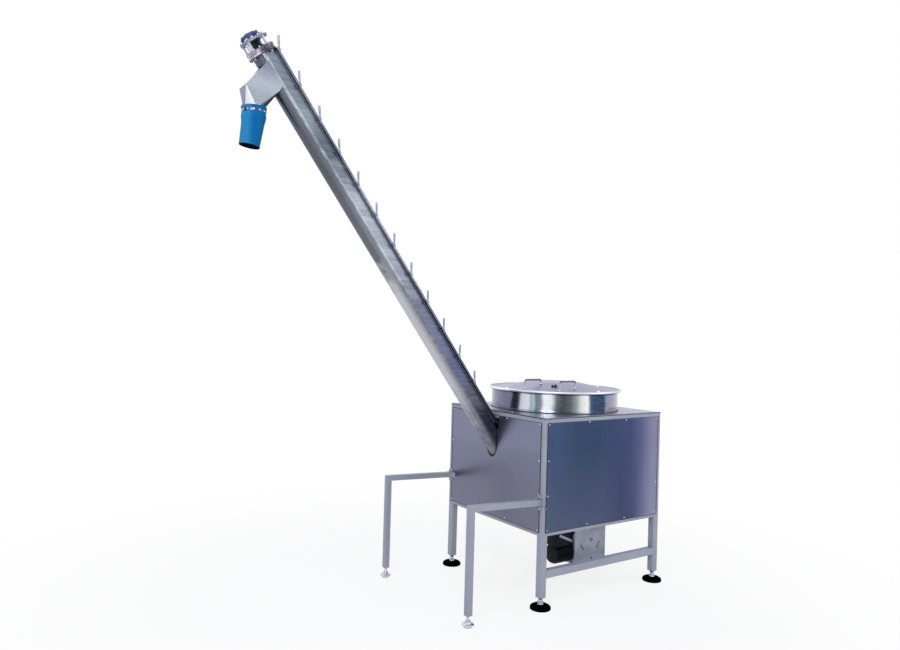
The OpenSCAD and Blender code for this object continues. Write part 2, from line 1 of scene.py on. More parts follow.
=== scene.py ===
"""Looks for an inclined screw feeder: stainless hopper, trough and panels on a painted tube frame."""

import json
import math
from functools import partial

import bmesh
import bpy
from mathutils import Matrix, Vector


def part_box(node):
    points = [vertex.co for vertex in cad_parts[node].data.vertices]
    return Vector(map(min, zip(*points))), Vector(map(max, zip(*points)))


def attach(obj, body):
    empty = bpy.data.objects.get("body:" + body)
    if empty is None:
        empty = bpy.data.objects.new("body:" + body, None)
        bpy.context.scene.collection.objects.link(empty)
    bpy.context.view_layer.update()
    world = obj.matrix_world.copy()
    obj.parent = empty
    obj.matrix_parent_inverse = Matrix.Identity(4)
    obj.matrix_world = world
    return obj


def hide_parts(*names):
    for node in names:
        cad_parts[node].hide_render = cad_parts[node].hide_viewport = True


bl_info = {
    "name": "Inclined Screw Feeder",
    "version": (1, 0, 0),
    "blender": (4, 5, 0),
    "location": "View3D > Sidebar > Feeder",
    "description": "Dresses the packed screw feeder with finishes, fasteners, lid, clamps, sleeve and stage",
    "category": "Object",
}

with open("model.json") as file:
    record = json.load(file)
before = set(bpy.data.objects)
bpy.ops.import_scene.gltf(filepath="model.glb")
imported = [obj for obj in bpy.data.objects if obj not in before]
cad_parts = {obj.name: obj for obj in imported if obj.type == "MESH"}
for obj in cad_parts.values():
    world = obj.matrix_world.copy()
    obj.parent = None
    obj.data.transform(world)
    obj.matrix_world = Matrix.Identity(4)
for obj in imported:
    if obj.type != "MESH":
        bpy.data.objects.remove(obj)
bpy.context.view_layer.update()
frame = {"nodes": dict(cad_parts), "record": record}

MM = 0.001
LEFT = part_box("post_front_left")[0].x
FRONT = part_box("post_front_left")[0].y
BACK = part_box("post_back_left")[1].y
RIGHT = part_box("post_front_right")[1].x
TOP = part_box("post_front_left")[1].z
DRUM_LOW, DRUM_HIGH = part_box("hopper_drum")
DRUM_X, DRUM_Y = ((DRUM_LOW + DRUM_HIGH) / 2).xy
DRUM_R = (DRUM_HIGH.x - DRUM_LOW.x) / 2
DRUM_TOP = DRUM_HIGH.z
DRUM_STEPS = 160

SLOPE = math.radians(53)
TROUGH_Z = 0.919
TROUGH_Y = (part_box("trough")[0].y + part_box("trough")[1].y) / 2
TROUGH_HALF = 0.043
TROUGH_AXIS = -0.067
TROUGH_UP = 2.254
ROD_BASE = TROUGH_UP + 0.030
CLAMP_FIRST = 0.295
LID_SHEET, LID_RISE, LID_FLAT = 0.0025, 0.038, 0.145
HANDLE_HALF = 0.061
PANEL_FOOT, PANEL_RISE = 0.39, 0.58
CLAMP_PITCH = (TROUGH_UP - 0.012 - CLAMP_FIRST) / 11

# The fitted camera: its place, its yaw, pitch and roll in degrees, and its focal length in mm
CAMERA_PLACE = (LEFT - 2.50415, -3.21747, 1.42213)
CAMERA_TURN = (34.166, 0.680, 1.606)
CAMERA_LENS = 28.54

# X runs up the trough, Z is square to its cover, and the origin lies where the cover's underside crosses the panel
TROUGH = Matrix((
    (-math.cos(SLOPE), 0, math.sin(SLOPE), LEFT),
    (0, -1, 0, TROUGH_Y),
    (math.sin(SLOPE), 0, math.cos(SLOPE), TROUGH_Z),
    (0, 0, 0, 1),
))
# X of the trough turned into a rod's own Z
ALONG = Matrix.Rotation(math.pi / 2, 4, "Y")


def middle(low, high):
    """The point halfway between a box's corners."""
    return (low + high) / 2


def linear(code):
    """An sRGB hex colour as Blender's linear one."""
    part = [int(code[i:i + 2], 16) / 255 for i in (1, 3, 5)]
    return (*(p / 12.92 if p < 0.04045 else ((p + 0.055) / 1.055) ** 2.4 for p in part), 1.0)


def moved(x=0.0, y=0.0, z=0.0):
    """A matrix that moves."""
    return Matrix.Translation((x, y, z))


def facing(normal, place):
    """A matrix that puts Z along a normal, at a place."""
    return moved(*place) @ Vector(normal).to_track_quat("Z", "Y").to_matrix().to_4x4()


# ---------------------------------------------------------------- materials

def add(tree, kind, links=None, out=None, stops=None, **settings):
    """Adds a node with its settings, inputs (values, hex colours or sockets) and ramp stops; out picks an output."""
    node = tree.nodes.new("ShaderNode" + kind)
    for name, value in settings.items():
        setattr(node, name, value)
    for name, value in (links or {}).items():
        if isinstance(value, bpy.types.NodeSocket):
            tree.links.new(value, node.inputs[name])
        else:
            node.inputs[name].default_value = linear(value) if isinstance(value, str) else value
    if stops:
        elements = node.color_ramp.elements
        while len(elements) < len(stops):
            elements.new(0.5)
        for element, (place, colour) in zip(elements, stops):
            element.position = place
            element.color = linear(colour) if isinstance(colour, str) else (colour, colour, colour, 1)
    return node if out is None else node.outputs[out]


def coords(node, place=(0, 0, 0), turn=(0, 0, 0), scale=(1, 1, 1)):
    """Object coordinates, moved, then turned, then scaled."""
    source = node("TexCoord", out="Object")
    centred = node("VectorMath", {0: source, 1: place}, 0, operation="SUBTRACT")
    return node("Mapping", {"Vector": centred, "Rotation": turn, "Scale": scale}, 0)


def new_tree(owner):
    """Turns an owner's nodes on and clears them; returns the function that adds nodes there."""
    owner.use_nodes = True
    owner.node_tree.nodes.clear()
    return partial(add, owner.node_tree)


def finish(name, build, **shader):
    """A material whose build function returns extra inputs of its Principled shader."""
    made = bpy.data.materials.new(name)
    node = new_tree(made)
    node("OutputMaterial", {"Surface": node("BsdfPrincipled", {**shader, **build(node)}, 0)})
    return made


def seen_rays(node):
    """1 for rays of the camera, mirrors and glass, which see plain white, and 0 for the light on the feeder."""
    path = node("LightPath")
    seen = node("Math", {0: path.outputs["Is Camera Ray"], 1: path.outputs["Is Glossy Ray"]}, 0, operation="MAXIMUM")
    return node("Math", {0: seen, 1: path.outputs["Is Transmission Ray"]}, 0, operation="MAXIMUM")


def powder_coat(node):
    """Blue-grey powder coat: a soft gloss, with the fine orange peel of about 2 mm that baking gives."""
    peel = node("TexNoise", {"Vector": coords(node), "Scale": 500}, "Fac")
    patch = node("TexNoise", {"Vector": coords(node), "Scale": 3.0}, "Fac")
    return {"Base Color": node("ValToRGB", {0: patch}, 0, ((0.3, "#9096a6"), (0.7, "#a0a5b3"))),
            "Roughness": node("ValToRGB", {0: patch}, 0, ((0.3, 0.42), (0.7, 0.5))),
            "Normal": node("Bump", {"Height": peel, "Strength": 0.12, "Distance": 0.0006}, 0)}


def layered(node, base, *layers):
    """Colours laid over a base one after another, each where the ramp of its factor lets it."""
    for fac, stops, colour in layers:
        share = node("ValToRGB", {0: fac}, 0, stops)
        base = node("Mix", {0: share, 6: base, 7: colour}, 2, data_type="RGBA")
    return base


def grained(node, marks, rough, strength, depth):
    """A roughness and a relief that follow the same marks."""
    return {"Roughness": node("ValToRGB", {0: marks}, 0, rough),
            "Normal": node("Bump", {"Height": marks, "Strength": strength, "Distance": depth}, 0)}


def brushed(node, base, share, dark, light, rough, strength):
    """A panel's base colour, painted reflection included, under upright brushed lines of 1.5 mm."""
    lines = node("TexNoise", {"Vector": coords(node, scale=(1, 1, 0.02)), "Scale": 1.0 / (1.5 * MM), "Detail": 4,
                              "Roughness": 0.7}, "Fac")
    grain = node("ValToRGB", {0: lines}, 0, ((0.35, dark), (0.65, light)))
    return {"Base Color": node("Mix", {0: share, 6: base, 7: grain}, 2, data_type="RGBA"), "Roughness": rough,
            "Normal": node("Bump", {"Height": lines, "Strength": strength, "Distance": 0.0003}, 0)}


def panel_height(node):
    """0 at a panel's lower edge and 1 at its upper one."""
    return node("SeparateXYZ", {0: coords(node, (0, 0, PANEL_FOOT), scale=(1, 1, 1 / PANEL_RISE))}, 2)


def front_sheet(node):
    """Brushed stainless front panel, vertical grain of 1.5 mm, under painted reflections: deep blue, lavender at its
    right end, greyer and lighter towards the bottom.
    """
    across = coords(node, (LEFT, 0, 0), scale=(1 / (RIGHT - LEFT), 1, 1))
    x = node("SeparateXYZ", {0: across}, 0)
    wave = node("TexNoise", {"Vector": coords(node, scale=(2.2, 1, 0.5)), "Scale": 2.0, "Detail": 1}, "Fac")
    shifted = node("Math", {0: wave, 1: 0.16, 2: x}, 0, operation="MULTIPLY_ADD")
    # Painted reflections on the upper panel: deep blue, turning lavender at the right end
    high = node("ValToRGB", {0: shifted}, 0, ((0.05, "#385073"), (0.2, "#3b4f74"), (0.34, "#2f4463"),
                                              (0.5, "#2c4261"), (0.62, "#34446a"), (0.78, "#3a466e"),
                                              (0.9, "#555c84"), (1.0, "#8484a4")))
    # Painted reflections on the lower panel: greyer and lighter
    low = node("ValToRGB", {0: shifted}, 0, ((0.05, "#5f6679"), (0.22, "#4d5872"), (0.4, "#4a5674"),
                                             (0.56, "#4c5672"), (0.7, "#3c4565"), (0.84, "#454b70"),
                                             (0.92, "#686a90"), (1.0, "#8c8cab")))
    # Painted reflection blended from the lower ramp to the upper one by height
    sheet = layered(node, low, (panel_height(node), ((0.05, 0.0), (0.75, 1.0)), high))
    return brushed(node, sheet, 0.12, "#25324c", "#7d859f", 0.27, 0.12)


def side_sheet(node):
    """Brushed stainless side panels: grey violet with soft clouds, a little lighter towards the top as painted
    reflection, vertical grain of 1.5 mm.
    """
    cloud = node("TexNoise", {"Vector": coords(node, scale=(1, 1, 0.7)), "Scale": 1.6, "Detail": 1}, "Fac")
    # Painted reflection: the panel gets a little lighter towards its top
    tall = node("Math", {0: cloud, 1: 0.5, 2: panel_height(node)}, 0, operation="MULTIPLY_ADD")
    base = node("ValToRGB", {0: tall}, 0, ((0.2, "#77748a"), (0.6, "#74758b"), (0.95, "#797c92"), (1.0, "#7f819b")))
    return brushed(node, base, 0.08, "#5c5c70", "#a2a4bb", 0.3, 0.1)


# Places round the drum, as a share of half its width in the picture's view, and the painted reflection on the rolled
# sheet there
DRUM_REFLECTIONS = (
    (-0.99, "#8a8ba2"), (-0.86, "#7b7c90"), (-0.72, "#6d6e82"), (-0.67, "#707187"), (-0.56, "#6b6c81"),
    (-0.51, "#c8c9d6"), (-0.37, "#d9dae5"), (-0.33, "#93a2b0"), (-0.3, "#adc6cd"), (-0.26, "#6c7889"),
    (-0.19, "#7f8795"), (-0.15, "#f2f4fa"), (-0.04, "#e6e8f0"), (0.03, "#616a70"), (0.12, "#3d464c"),
    (0.24, "#596167"), (0.33, "#959b9d"), (0.4, "#dcdee0"), (0.5, "#f5f6f4"), (0.54, "#46608c"),
    (0.6, "#2f4568"), (0.75, "#2a3d5c"), (0.79, "#8f8ca4"), (0.97, "#aba7bd"),
)
DRUM_FACING = math.radians(-132.6)


def drum_sheet(node):
    """Rolled stainless drum, polished bright: upright light and dark bands of painted reflection, as a studio draws
    on it, faint scuffs.
    """
    vector = coords(node, (DRUM_X, DRUM_Y, 0), (0, 0, -DRUM_FACING))
    turn = node("TexGradient", {"Vector": vector}, "Fac", gradient_type="RADIAL")
    wobble = node("TexNoise", {"Vector": coords(node, scale=(3, 3, 7)), "Scale": 1.4, "Detail": 1}, "Fac")
    swayed = node("Math", {0: wobble, 1: 0.012, 2: turn}, 0, operation="MULTIPLY_ADD")
    # Painted reflections all round the drum, the bands of the side in view among them
    stops = [(0.0, "#9a9eac"), (0.1, "#c9cbd6"), (0.18, "#6d7280")]
    stops += [(0.506 + math.asin(u) / (2 * math.pi), code) for u, code in DRUM_REFLECTIONS]
    stops += [(0.84, "#dcdde6"), (0.92, "#767b8a"), (1.0, "#9a9eac")]
    scuff = node("TexNoise", {"Vector": coords(node, scale=(1, 1, 12)), "Scale": 26, "Detail": 4,
                              "Roughness": 0.65}, "Fac")
    base = node("ValToRGB", {0: swayed}, 0, stops)
    return {"Base Color": layered(node, base, (scuff, ((0.5, 0.0), (0.75, 0.35)), "#a9abb5")),
            **grained(node, scuff, ((0.3, 0.13), (0.8, 0.24)), 0.05, 0.0005)}


def deck_sheet(node):
    """Cold-rolled stainless deck, dull and pale lavender, with clouds some 80 mm across."""
    cloud = node("TexNoise", {"Vector": coords(node), "Scale": 12.0, "Detail": 3}, "Fac")
    fine = node("TexNoise", {"Vector": coords(node), "Scale": 400, "Detail": 3}, "Fac")
    return {"Base Color": node("ValToRGB", {0: cloud}, 0, ((0.3, "#9a9db2"), (0.7, "#b0b2c4"))),
            **grained(node, fine, ((0.3, 0.3), (0.7, 0.4)), 0.06, 0.0004)}


def coupling_steel(node):
    """Turned steel of the coupling housing: painted reflections as bright and dark stripes along it, as on any
    polished round part.
    """
    place = node("SeparateXYZ", {0: trough_coords(node)})
    high = node("Math", {0: place.outputs[2], 1: TROUGH_AXIS}, 0, operation="SUBTRACT")
    level = node("CombineXYZ", {0: high, 1: place.outputs[1]}, 0)
    turn = node("TexGradient", {"Vector": level}, "Fac", gradient_type="RADIAL")
    marks = node("TexNoise", {"Vector": coords(node), "Scale": 300}, "Fac")
    # Painted reflections: bright and dark stripes by the angle round the trough's axis
    return {"Base Color": node("ValToRGB", {0: turn}, 0, ((0.0, "#c0c4d6"), (0.05, "#dfe1ec"), (0.1, "#8a94a0"),
                                                          (0.15, "#26332f"), (0.25, "#101c1c"), (0.31, "#3c4a50"),
                                                          (0.36, "#c9cfda"), (0.42, "#5a6070"), (0.7, "#8d92a0"),
                                                          (0.9, "#8b87a0"), (1.0, "#c0c4d6"))),
            "Roughness": node("ValToRGB", {0: marks}, 0, ((0.3, 0.2), (0.7, 0.3)))}


def satin_lid(node):
    """Spun stainless lid, satin finish: pale lavender with faint turning rings of 3 mm, and a painted highlight on
    its rolled rim.
    """
    rings = node("TexWave", {"Vector": coords(node, (DRUM_X, DRUM_Y, 0)), "Scale": 55.0, "Distortion": 1.5,
                             "Detail": 2.0}, "Fac", wave_type="RINGS", rings_direction="Z")
    cloud = node("TexNoise", {"Vector": coords(node), "Scale": 3.0}, "Fac")
    reach = node("VectorMath", {0: coords(node, (DRUM_X, DRUM_Y, 0), scale=(1, 1, 0))}, "Value", operation="LENGTH")
    base = node("ValToRGB", {0: cloud}, 0, ((0.3, "#8d8ca6"), (0.7, "#9f9eb6")))
    # Painted highlight: the rolled rim, from 383 mm out from the drum's axis, is pale
    return {"Base Color": layered(node, base, (reach, ((0.383, 0.0), (0.388, 1.0)), "#d4d5e4")), "Roughness": 0.36,
            "Normal": node("Bump", {"Height": rings, "Strength": 0.05, "Distance": 0.0004}, 0)}


def trough_coords(node, scale=(1, 1, 1)):
    """Coordinates with X down the trough and Z square to its cover."""
    return coords(node, (LEFT, TROUGH_Y, TROUGH_Z), (0, -SLOPE, 0), scale)


def trough_sheet(node):
    """Mill-finish stainless trough: streaks and fine marks along it; painted reflections, painted shade and a painted
    highlight give its sides bands of grey, blue and pale along the trough and its round bottom a pale band.
    """
    place = node("SeparateXYZ", {0: trough_coords(node)})
    streak = node("TexNoise", {"Vector": trough_coords(node, (1.3, 26, 26)), "Scale": 2.4, "Detail": 3,
                               "Roughness": 0.6}, "Fac")
    fine = node("TexNoise", {"Vector": trough_coords(node, (3, 90, 90)), "Scale": 3.0, "Detail": 4,
                             "Roughness": 0.7}, "Fac")
    patch = node("TexNoise", {"Vector": trough_coords(node, (1.0, 6, 6)), "Scale": 3.2, "Detail": 3,
                              "Roughness": 0.6}, "Fac")
    up = node("MapRange", {0: place.outputs[0], 1: 0.0, 2: -TROUGH_UP}, 0)
    up = node("Math", {0: patch, 1: 0.22, 2: up}, 0, operation="MULTIPLY_ADD")
    # Painted reflections and painted shade on the flat sides along the trough: dark grey at the low end, then blue
    # violet, pale, dark and pale towards the head
    side = node("ValToRGB", {0: up}, 0, ((0.11, "#444650"), (0.17, "#444650"), (0.23, "#4b4f61"), (0.28, "#535a80"),
                                         (0.33, "#474f73"), (0.38, "#5a617e"), (0.47, "#62667b"), (0.57, "#8e93a2"),
                                         (0.68, "#abb3c1"), (0.76, "#b2bbc8"), (0.81, "#88929f"), (0.87, "#5d6875"),
                                         (0.92, "#7b8694"), (0.97, "#9aa6b4"), (1.0, "#838e9d")))
    side = layered(node, side, (streak, ((0.42, 0.0), (0.62, 0.4)), "#5a6072"))
    # Painted reflection across the round bottom: pale in its middle, darker at its front and back edges
    round_bottom = node("MapRange", {0: place.outputs[1], 1: -TROUGH_HALF, 2: 0.024}, 0)
    shifted = node("Math", {0: streak, 1: 0.1, 2: round_bottom}, 0, operation="MULTIPLY_ADD")
    low = node("ValToRGB", {0: shifted}, 0, ((0.05, "#6d707a"), (0.1, "#9698a2"), (0.24, "#bcbec5"),
                                             (0.5, "#c3c4cc"), (0.75, "#b6b7c0"), (0.95, "#a5a3b3"),
                                             (1.0, "#7b7690")))
    high = node("ValToRGB", {0: shifted}, 0, ((0.05, "#70757f"), (0.12, "#7d838f"), (0.24, "#63676f"),
                                              (0.5, "#656974"), (0.75, "#5e5f6c"), (0.93, "#454457")))
    # Painted shade on the round bottom: darker from the middle of the trough up, grey at its low end, darkest near
    # the head
    under = layered(node, low, (up, ((0.54, 0.0), (0.64, 1.0)), high), (up, ((0.1, 0.95), (0.27, 0.0)), "#666a75"),
                    (up, ((0.7, 0.0), (0.84, 0.45)), "#383c4a"))
    across = node("MapRange", {0: place.outputs[2], 1: -0.1, 2: 0.0}, 0)
    # Painted shade: the side darkens just under the cover, most towards the trough's low end
    shade = node("Math", {0: node("ValToRGB", {0: up}, 0, ((0.3, 1.0), (0.5, 0.3))),
                          1: node("ValToRGB", {0: across}, 0, ((0.6, 0.0), (0.9, 0.55)))}, 0, operation="MULTIPLY")
    side = node("Mix", {0: shade, 6: side, 7: "#2c2e3b"}, 2, data_type="RGBA")
    base = layered(node, under, (across, ((0.31, 0.0), (0.35, 1.0)), side))
    # Painted highlight: a pale band where the side meets the round bottom, in the upper half of the trough, brightest
    # near the head
    shine = node("ValToRGB", {0: up}, 0, ((0.5, 0.0), (0.6, 0.6), (0.86, 0.5), (0.94, 1.0)))
    for fac, stops in ((across, ((0.2, 0.0), (0.31, 0.85), (0.36, 0.85), (0.43, 0.0))),
                       (patch, ((0.38, 0.35), (0.6, 1.0)))):
        shine = node("Math", {0: shine, 1: node("ValToRGB", {0: fac}, 0, stops)}, 0, operation="MULTIPLY")
    base = node("Mix", {0: shine, 6: base, 7: "#dde3ee"}, 2, data_type="RGBA")
    return {"Base Color": layered(node, base, (fine, ((0.42, 0.0), (0.75, 0.2)), "#c6cad2")),
            **grained(node, fine, ((0.3, 0.22), (0.7, 0.36)), 0.1, 0.0006)}


def mill_sheet(node):
    """Mill-finish stainless of the chute: silvery and cloudy, its tone changing with height, with painted shade and a
    painted highlight by the way each face turns.
    """
    patch = node("TexNoise", {"Vector": coords(node), "Scale": 7.0, "Detail": 3}, "Fac")
    fine = node("TexNoise", {"Vector": coords(node, scale=(1, 1, 3)), "Scale": 60, "Detail": 4, "Roughness": 0.7},
                "Fac")
    height = node("SeparateXYZ", {0: coords(node, (0, 0, 2.5), scale=(1, 1, 6))}, 2)
    tall = node("Math", {0: patch, 1: 0.5, 2: height}, 0, operation="MULTIPLY_ADD")
    base = node("ValToRGB", {0: tall}, 0, ((0.15, "#a3a9b9"), (0.35, "#aab4c4"), (0.55, "#b4bcc9"),
                                           (0.75, "#a2a8b9"), (0.95, "#8b92a8"), (1.0, "#868aa3")))
    normal = node("SeparateXYZ", {0: node("NewGeometry", out="Normal")})
    facet, upward = (node("MapRange", {0: normal.outputs[i], 1: -1.0, 2: 1.0}, 0) for i in (0, 2))
    # Painted light by facing: faces turned fully left get painted shade, faces turned partly left a painted
    # highlight, faces turned right painted shade
    painted_facet_light = node("ValToRGB", {0: facet}, 0, ((0.0, "#80849f"), (0.03, "#868aa5"), (0.07, "#e6e9f2"),
                                            (0.36, "#e0e4ee"), (0.6, "#4b5062")))
    # Fine marks, then the painted light by facing, then painted shade on faces turned up
    base = layered(node, base, (fine, ((0.45, 0.0), (0.75, 0.3)), "#dfe2ea"),
                   (facet, ((0.38, 1.0), (0.44, 0.0), (0.56, 0.0), (0.62, 1.0)), painted_facet_light),
                   (upward, ((0.62, 0.0), (0.7, 1.0)), "#77748e"))
    return {"Base Color": base, **grained(node, fine, ((0.3, 0.2), (0.7, 0.34)), 0.08, 0.0005)}


def mottled(node, scale, detail, colours, rough=None):
    """A colour, and a roughness where its stops are given, that follow one noise."""
    marks = node("TexNoise", {"Vector": coords(node), "Scale": scale, "Detail": detail}, "Fac")
    made = {"Base Color": node("ValToRGB", {0: marks}, 0, colours)}
    if rough:
        made["Roughness"] = node("ValToRGB", {0: marks}, 0, rough)
    return made


def bright_bar(node):
    """Bright drawn stainless bar and fasteners, with light handling marks of about 1 mm."""
    return mottled(node, 900, 3, ((0.35, "#a9aabd"), (0.65, "#d9dae6")), ((0.3, 0.16), (0.7, 0.3)))


def tumbled_lever(node):
    """Tumbled stainless clamp levers: soft grey lavender with 2 mm clouds."""
    return mottled(node, 400, 3, ((0.35, "#797b97"), (0.65, "#a8a9c2")), ((0.3, 0.42), (0.7, 0.55)))


def drawn_bar(node):
    """Drawn bar of the lid handles, with painted light: mauve grey on the top bar, pale on the uprights as a painted
    reflection where the sheet shines on them.
    """
    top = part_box("lid_handles")[1].z
    height = node("SeparateXYZ", {0: coords(node, (0, 0, top - 1))}, 2)
    marks = node("TexNoise", {"Vector": coords(node), "Scale": 300}, "Fac")
    # Painted light by height: pale uprights below, mauve grey top bar
    return {"Base Color": node("ValToRGB", {0: height}, 0, ((0.982, "#b4b4cb"), (0.989, "#5a556f"))),
            "Roughness": node("ValToRGB", {0: marks}, 0, ((0.3, 0.24), (0.7, 0.34)))}


def turned_plate(node):
    """Heat-tinted steel plate of the head flange: dark purple grey, with bright spots as painted highlights."""
    return mottled(node, 28, 3, ((0.32, "#4a3f4c"), (0.5, "#857d8e"), (0.66, "#d0ccd8")), ((0.3, 0.28), (0.7, 0.42)))


def enamel(node):
    """Navy motor enamel over a casting: a low gloss with a 1.5 mm cast grain."""
    grain = node("TexNoise", {"Vector": coords(node), "Scale": 600, "Detail": 3}, "Fac")
    return {**mottled(node, 40, 2, ((0.3, "#1d2247"), (0.7, "#39407a"))), "Roughness": 0.38,
            "Normal": node("Bump", {"Height": grain, "Strength": 0.25, "Distance": 0.0008}, 0)}


def cast_black(node):
    """Black painted casting of the drive motor, dusty in patches."""
    grain = node("TexNoise", {"Vector": coords(node), "Scale": 500, "Detail": 3}, "Fac")
    return {**mottled(node, 30, 3, ((0.4, "#05060b"), (0.75, "#14171f"))), "Roughness": 0.5,
            "Normal": node("Bump", {"Height": grain, "Strength": 0.3, "Distance": 0.0008}, 0)}


def machined_plate(node):
    """Machined aluminium plate of the gear case: pale grey with fine tool marks every 2 mm."""
    place = coords(node, scale=(1, 1, 14))
    marks = node("TexNoise", {"Vector": place, "Scale": 40, "Detail": 3, "Roughness": 0.6}, "Fac")
    return {**mottled(node, 14, 2, ((0.3, "#8c929e"), (0.7, "#a2a7b2"))),
            **grained(node, marks, ((0.3, 0.4), (0.7, 0.52)), 0.1, 0.0005)}


def moulded_rubber(node):
    """Black moulded rubber pad below, bright stud and plug above the pad's crown."""
    height = node("SeparateXYZ", {0: coords(node)}, 2)
    steel = node("Math", {0: height, 1: 0.0261}, 0, operation="GREATER_THAN")
    grain = node("TexNoise", {"Vector": coords(node), "Scale": 700}, "Fac")
    return {"Base Color": node("Mix", {0: steel, 6: "#030407", 7: "#a6a8b8"}, 2, data_type="RGBA"),
            "Metallic": steel,
            "Roughness": node("Math", {0: steel, 1: -0.71, 2: 0.95}, 0, operation="MULTIPLY_ADD"),
            "Normal": node("Bump", {"Height": grain, "Strength": 0.15, "Distance": 0.0005}, 0)}


def coated_cloth(node):
    """Blue coated cloth of the sleeve: a 1.2 mm plain weave under a thin PVC skin, so it has a soft sheen; painted
    light makes it paler on its left side and deeper blue on its right.
    """
    uv = node("UVMap", out=0, uv_map="cloth")
    across = node("TexWave", {"Vector": uv, "Scale": 130.0}, "Fac", bands_direction="X")
    down = node("TexWave", {"Vector": uv, "Scale": 130.0}, "Fac", bands_direction="Y")
    weave = node("Math", {0: across, 1: down}, 0, operation="MULTIPLY")
    patch = node("TexNoise", {"Vector": coords(node, scale=(1, 1, 0.4)), "Scale": 14}, "Fac")
    low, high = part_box("discharge_sleeve")
    side = node("SeparateXYZ", {0: coords(node, (*middle(low, high).xy, 0), (0, 0, math.radians(34)))}, 0)
    side = node("MapRange", {0: side, 1: -0.055, 2: 0.055}, 0)
    side = node("Math", {0: patch, 1: 0.16, 2: side}, 0, operation="MULTIPLY_ADD")
    # Painted light: paler towards the sleeve's left side, deeper blue towards its right
    base = node("ValToRGB", {0: side}, 0, ((0.1, "#2f86b6"), (0.5, "#2682b6"), (0.68, "#0068a2"), (0.8, "#0062a4"),
                                           (1.0, "#006a9e")))
    threads = node("ValToRGB", {0: weave}, 0, ((0.2, "#08497c"), (0.8, "#3f98c6")))
    return {"Base Color": node("Mix", {0: 0.1, 6: base, 7: threads}, 2, data_type="RGBA"),
            "Normal": node("Bump", {"Height": weave, "Strength": 0.18, "Distance": 0.0004}, 0)}


def cloth_lining(node):
    """Uncoated inside of the sleeve, near-black as painted shade."""
    return mottled(node, 60, 2, ((0.3, "#04101c"), (0.7, "#0a2438")))


def plain_seal(node):
    """Dark sealing rubber and shadow gaps."""
    return mottled(node, 400, 2, ((0.3, "#15151c"), (0.7, "#24242e")))


def cap_plastic(node):
    """Mauve moulded cap, slightly mottled."""
    return mottled(node, 120, 2, ((0.3, "#5b4a7d"), (0.7, "#8576a6")))


METAL = {"Metallic": 1.0}
FINISHES = {
    "frame_paint": ("Powder Coated Steel", powder_coat, {}),
    "panel_steel": ("Brushed Stainless Side Sheet", side_sheet, METAL),
    "front_steel": ("Brushed Stainless Front Sheet", front_sheet, METAL),
    "drum_steel": ("Bright Rolled Stainless", drum_sheet, METAL),
    "deck_steel": ("Cold Rolled Stainless", deck_sheet, METAL),
    "coupling_steel": ("Turned Coupling Steel", coupling_steel, METAL),
    "lid_steel": ("Satin Spun Stainless", satin_lid, METAL),
    "trough_steel": ("Mill Finish Stainless Trough", trough_sheet, METAL),
    "chute_steel": ("Mill Finish Stainless Sheet", mill_sheet, METAL),
    "bright_steel": ("Bright Stainless Bar", bright_bar, METAL),
    "lever_steel": ("Tumbled Stainless", tumbled_lever, METAL),
    "handle_steel": ("Drawn Bar", drawn_bar, METAL),
    "flange_steel": ("Heat Tinted Steel Plate", turned_plate, METAL),
    "motor_navy": ("Navy Enamel", enamel, {"Metallic": 0.2}),
    "motor_black": ("Black Painted Casting", cast_black, {"Specular IOR Level": 0.15}),
    "case_metal": ("Machined Aluminium Plate", machined_plate, {"Metallic": 0.5}),
    "foot_rubber": ("Moulded Rubber", moulded_rubber, {"IOR": 1.02}),
    "sleeve_cloth": ("Coated Cloth", coated_cloth, {"Roughness": 0.55, "Specular IOR Level": 0.08}),
    "lining_cloth": ("Uncoated Cloth", cloth_lining, {"Roughness": 0.8, "Specular IOR Level": 0.1}),
    "seal_rubber": ("Sealing Rubber", plain_seal, {"Roughness": 0.55}),
    "port_plastic": ("Moulded Cap", cap_plastic, {"Roughness": 0.3}),
}
MADE = {}


def material(name):
    """The material of a finish, made at its first use."""
    if name not in MADE:
        title, build, shader = FINISHES[name]
        MADE[name] = finish(title, build, **shader)
    return MADE[name]


# ---------------------------------------------------------------- shapes

def rod(bm, matrix, radius, length, sides=24, end=None):
    """A round bar from a matrix's origin along its Z; end is its far radius."""
    bmesh.ops.create_cone(bm, cap_ends=True, segments=sides, radius1=radius, radius2=radius if end is None else end,
                          depth=length, matrix=matrix @ moved(0, 0, length / 2))


def block(bm, matrix, size, bevel=0.0, segments=2):
    """A block whose bottom is centred on a matrix's origin, with rounded edges."""
    made = bmesh.ops.create_cube(bm, size=1, matrix=matrix @ moved(0, 0, size[2] / 2)
                                 @ Matrix.Diagonal((*size, 1)))
    if bevel:
        edges = list({e for v in made["verts"] for e in v.link_edges})
        bmesh.ops.bevel(bm, geom=edges, offset=bevel, segments=segments, affect="EDGES", profile=0.5, material=-1)


def turned(bm, matrix, outline, steps=48, closed=False):
    """Spins an outline of (radius, height) points round a matrix's Z."""
    verts = [bm.verts.new((r, 0, z)) for r, z in outline]
    edges = [bm.edges.new(pair) for pair in zip(verts, verts[1:])]
    if closed:
        edges.append(bm.edges.new((verts[-1], verts[0])))
    before = set(bm.verts) - set(verts)
    bmesh.ops.spin(bm, geom=verts + edges, cent=(0, 0, 0), axis=(0, 0, 1), angle=2 * math.pi, steps=steps,
                   use_merge=True)
    made = [v for v in bm.verts if v not in before]
    bmesh.ops.remove_doubles(bm, verts=made, dist=1e-6)
    made = [v for v in bm.verts if v not in before]
    bmesh.ops.transform(bm, matrix=matrix, verts=made)


def ring(bm, matrix, radius, thick, steps=64, sides=10):
    """A round wire bent to a ring."""
    turned(bm, matrix, [(radius + thick * math.cos(a), thick * math.sin(a))
                        for a in (2 * math.pi * i / sides for i in range(sides))], steps, closed=True)


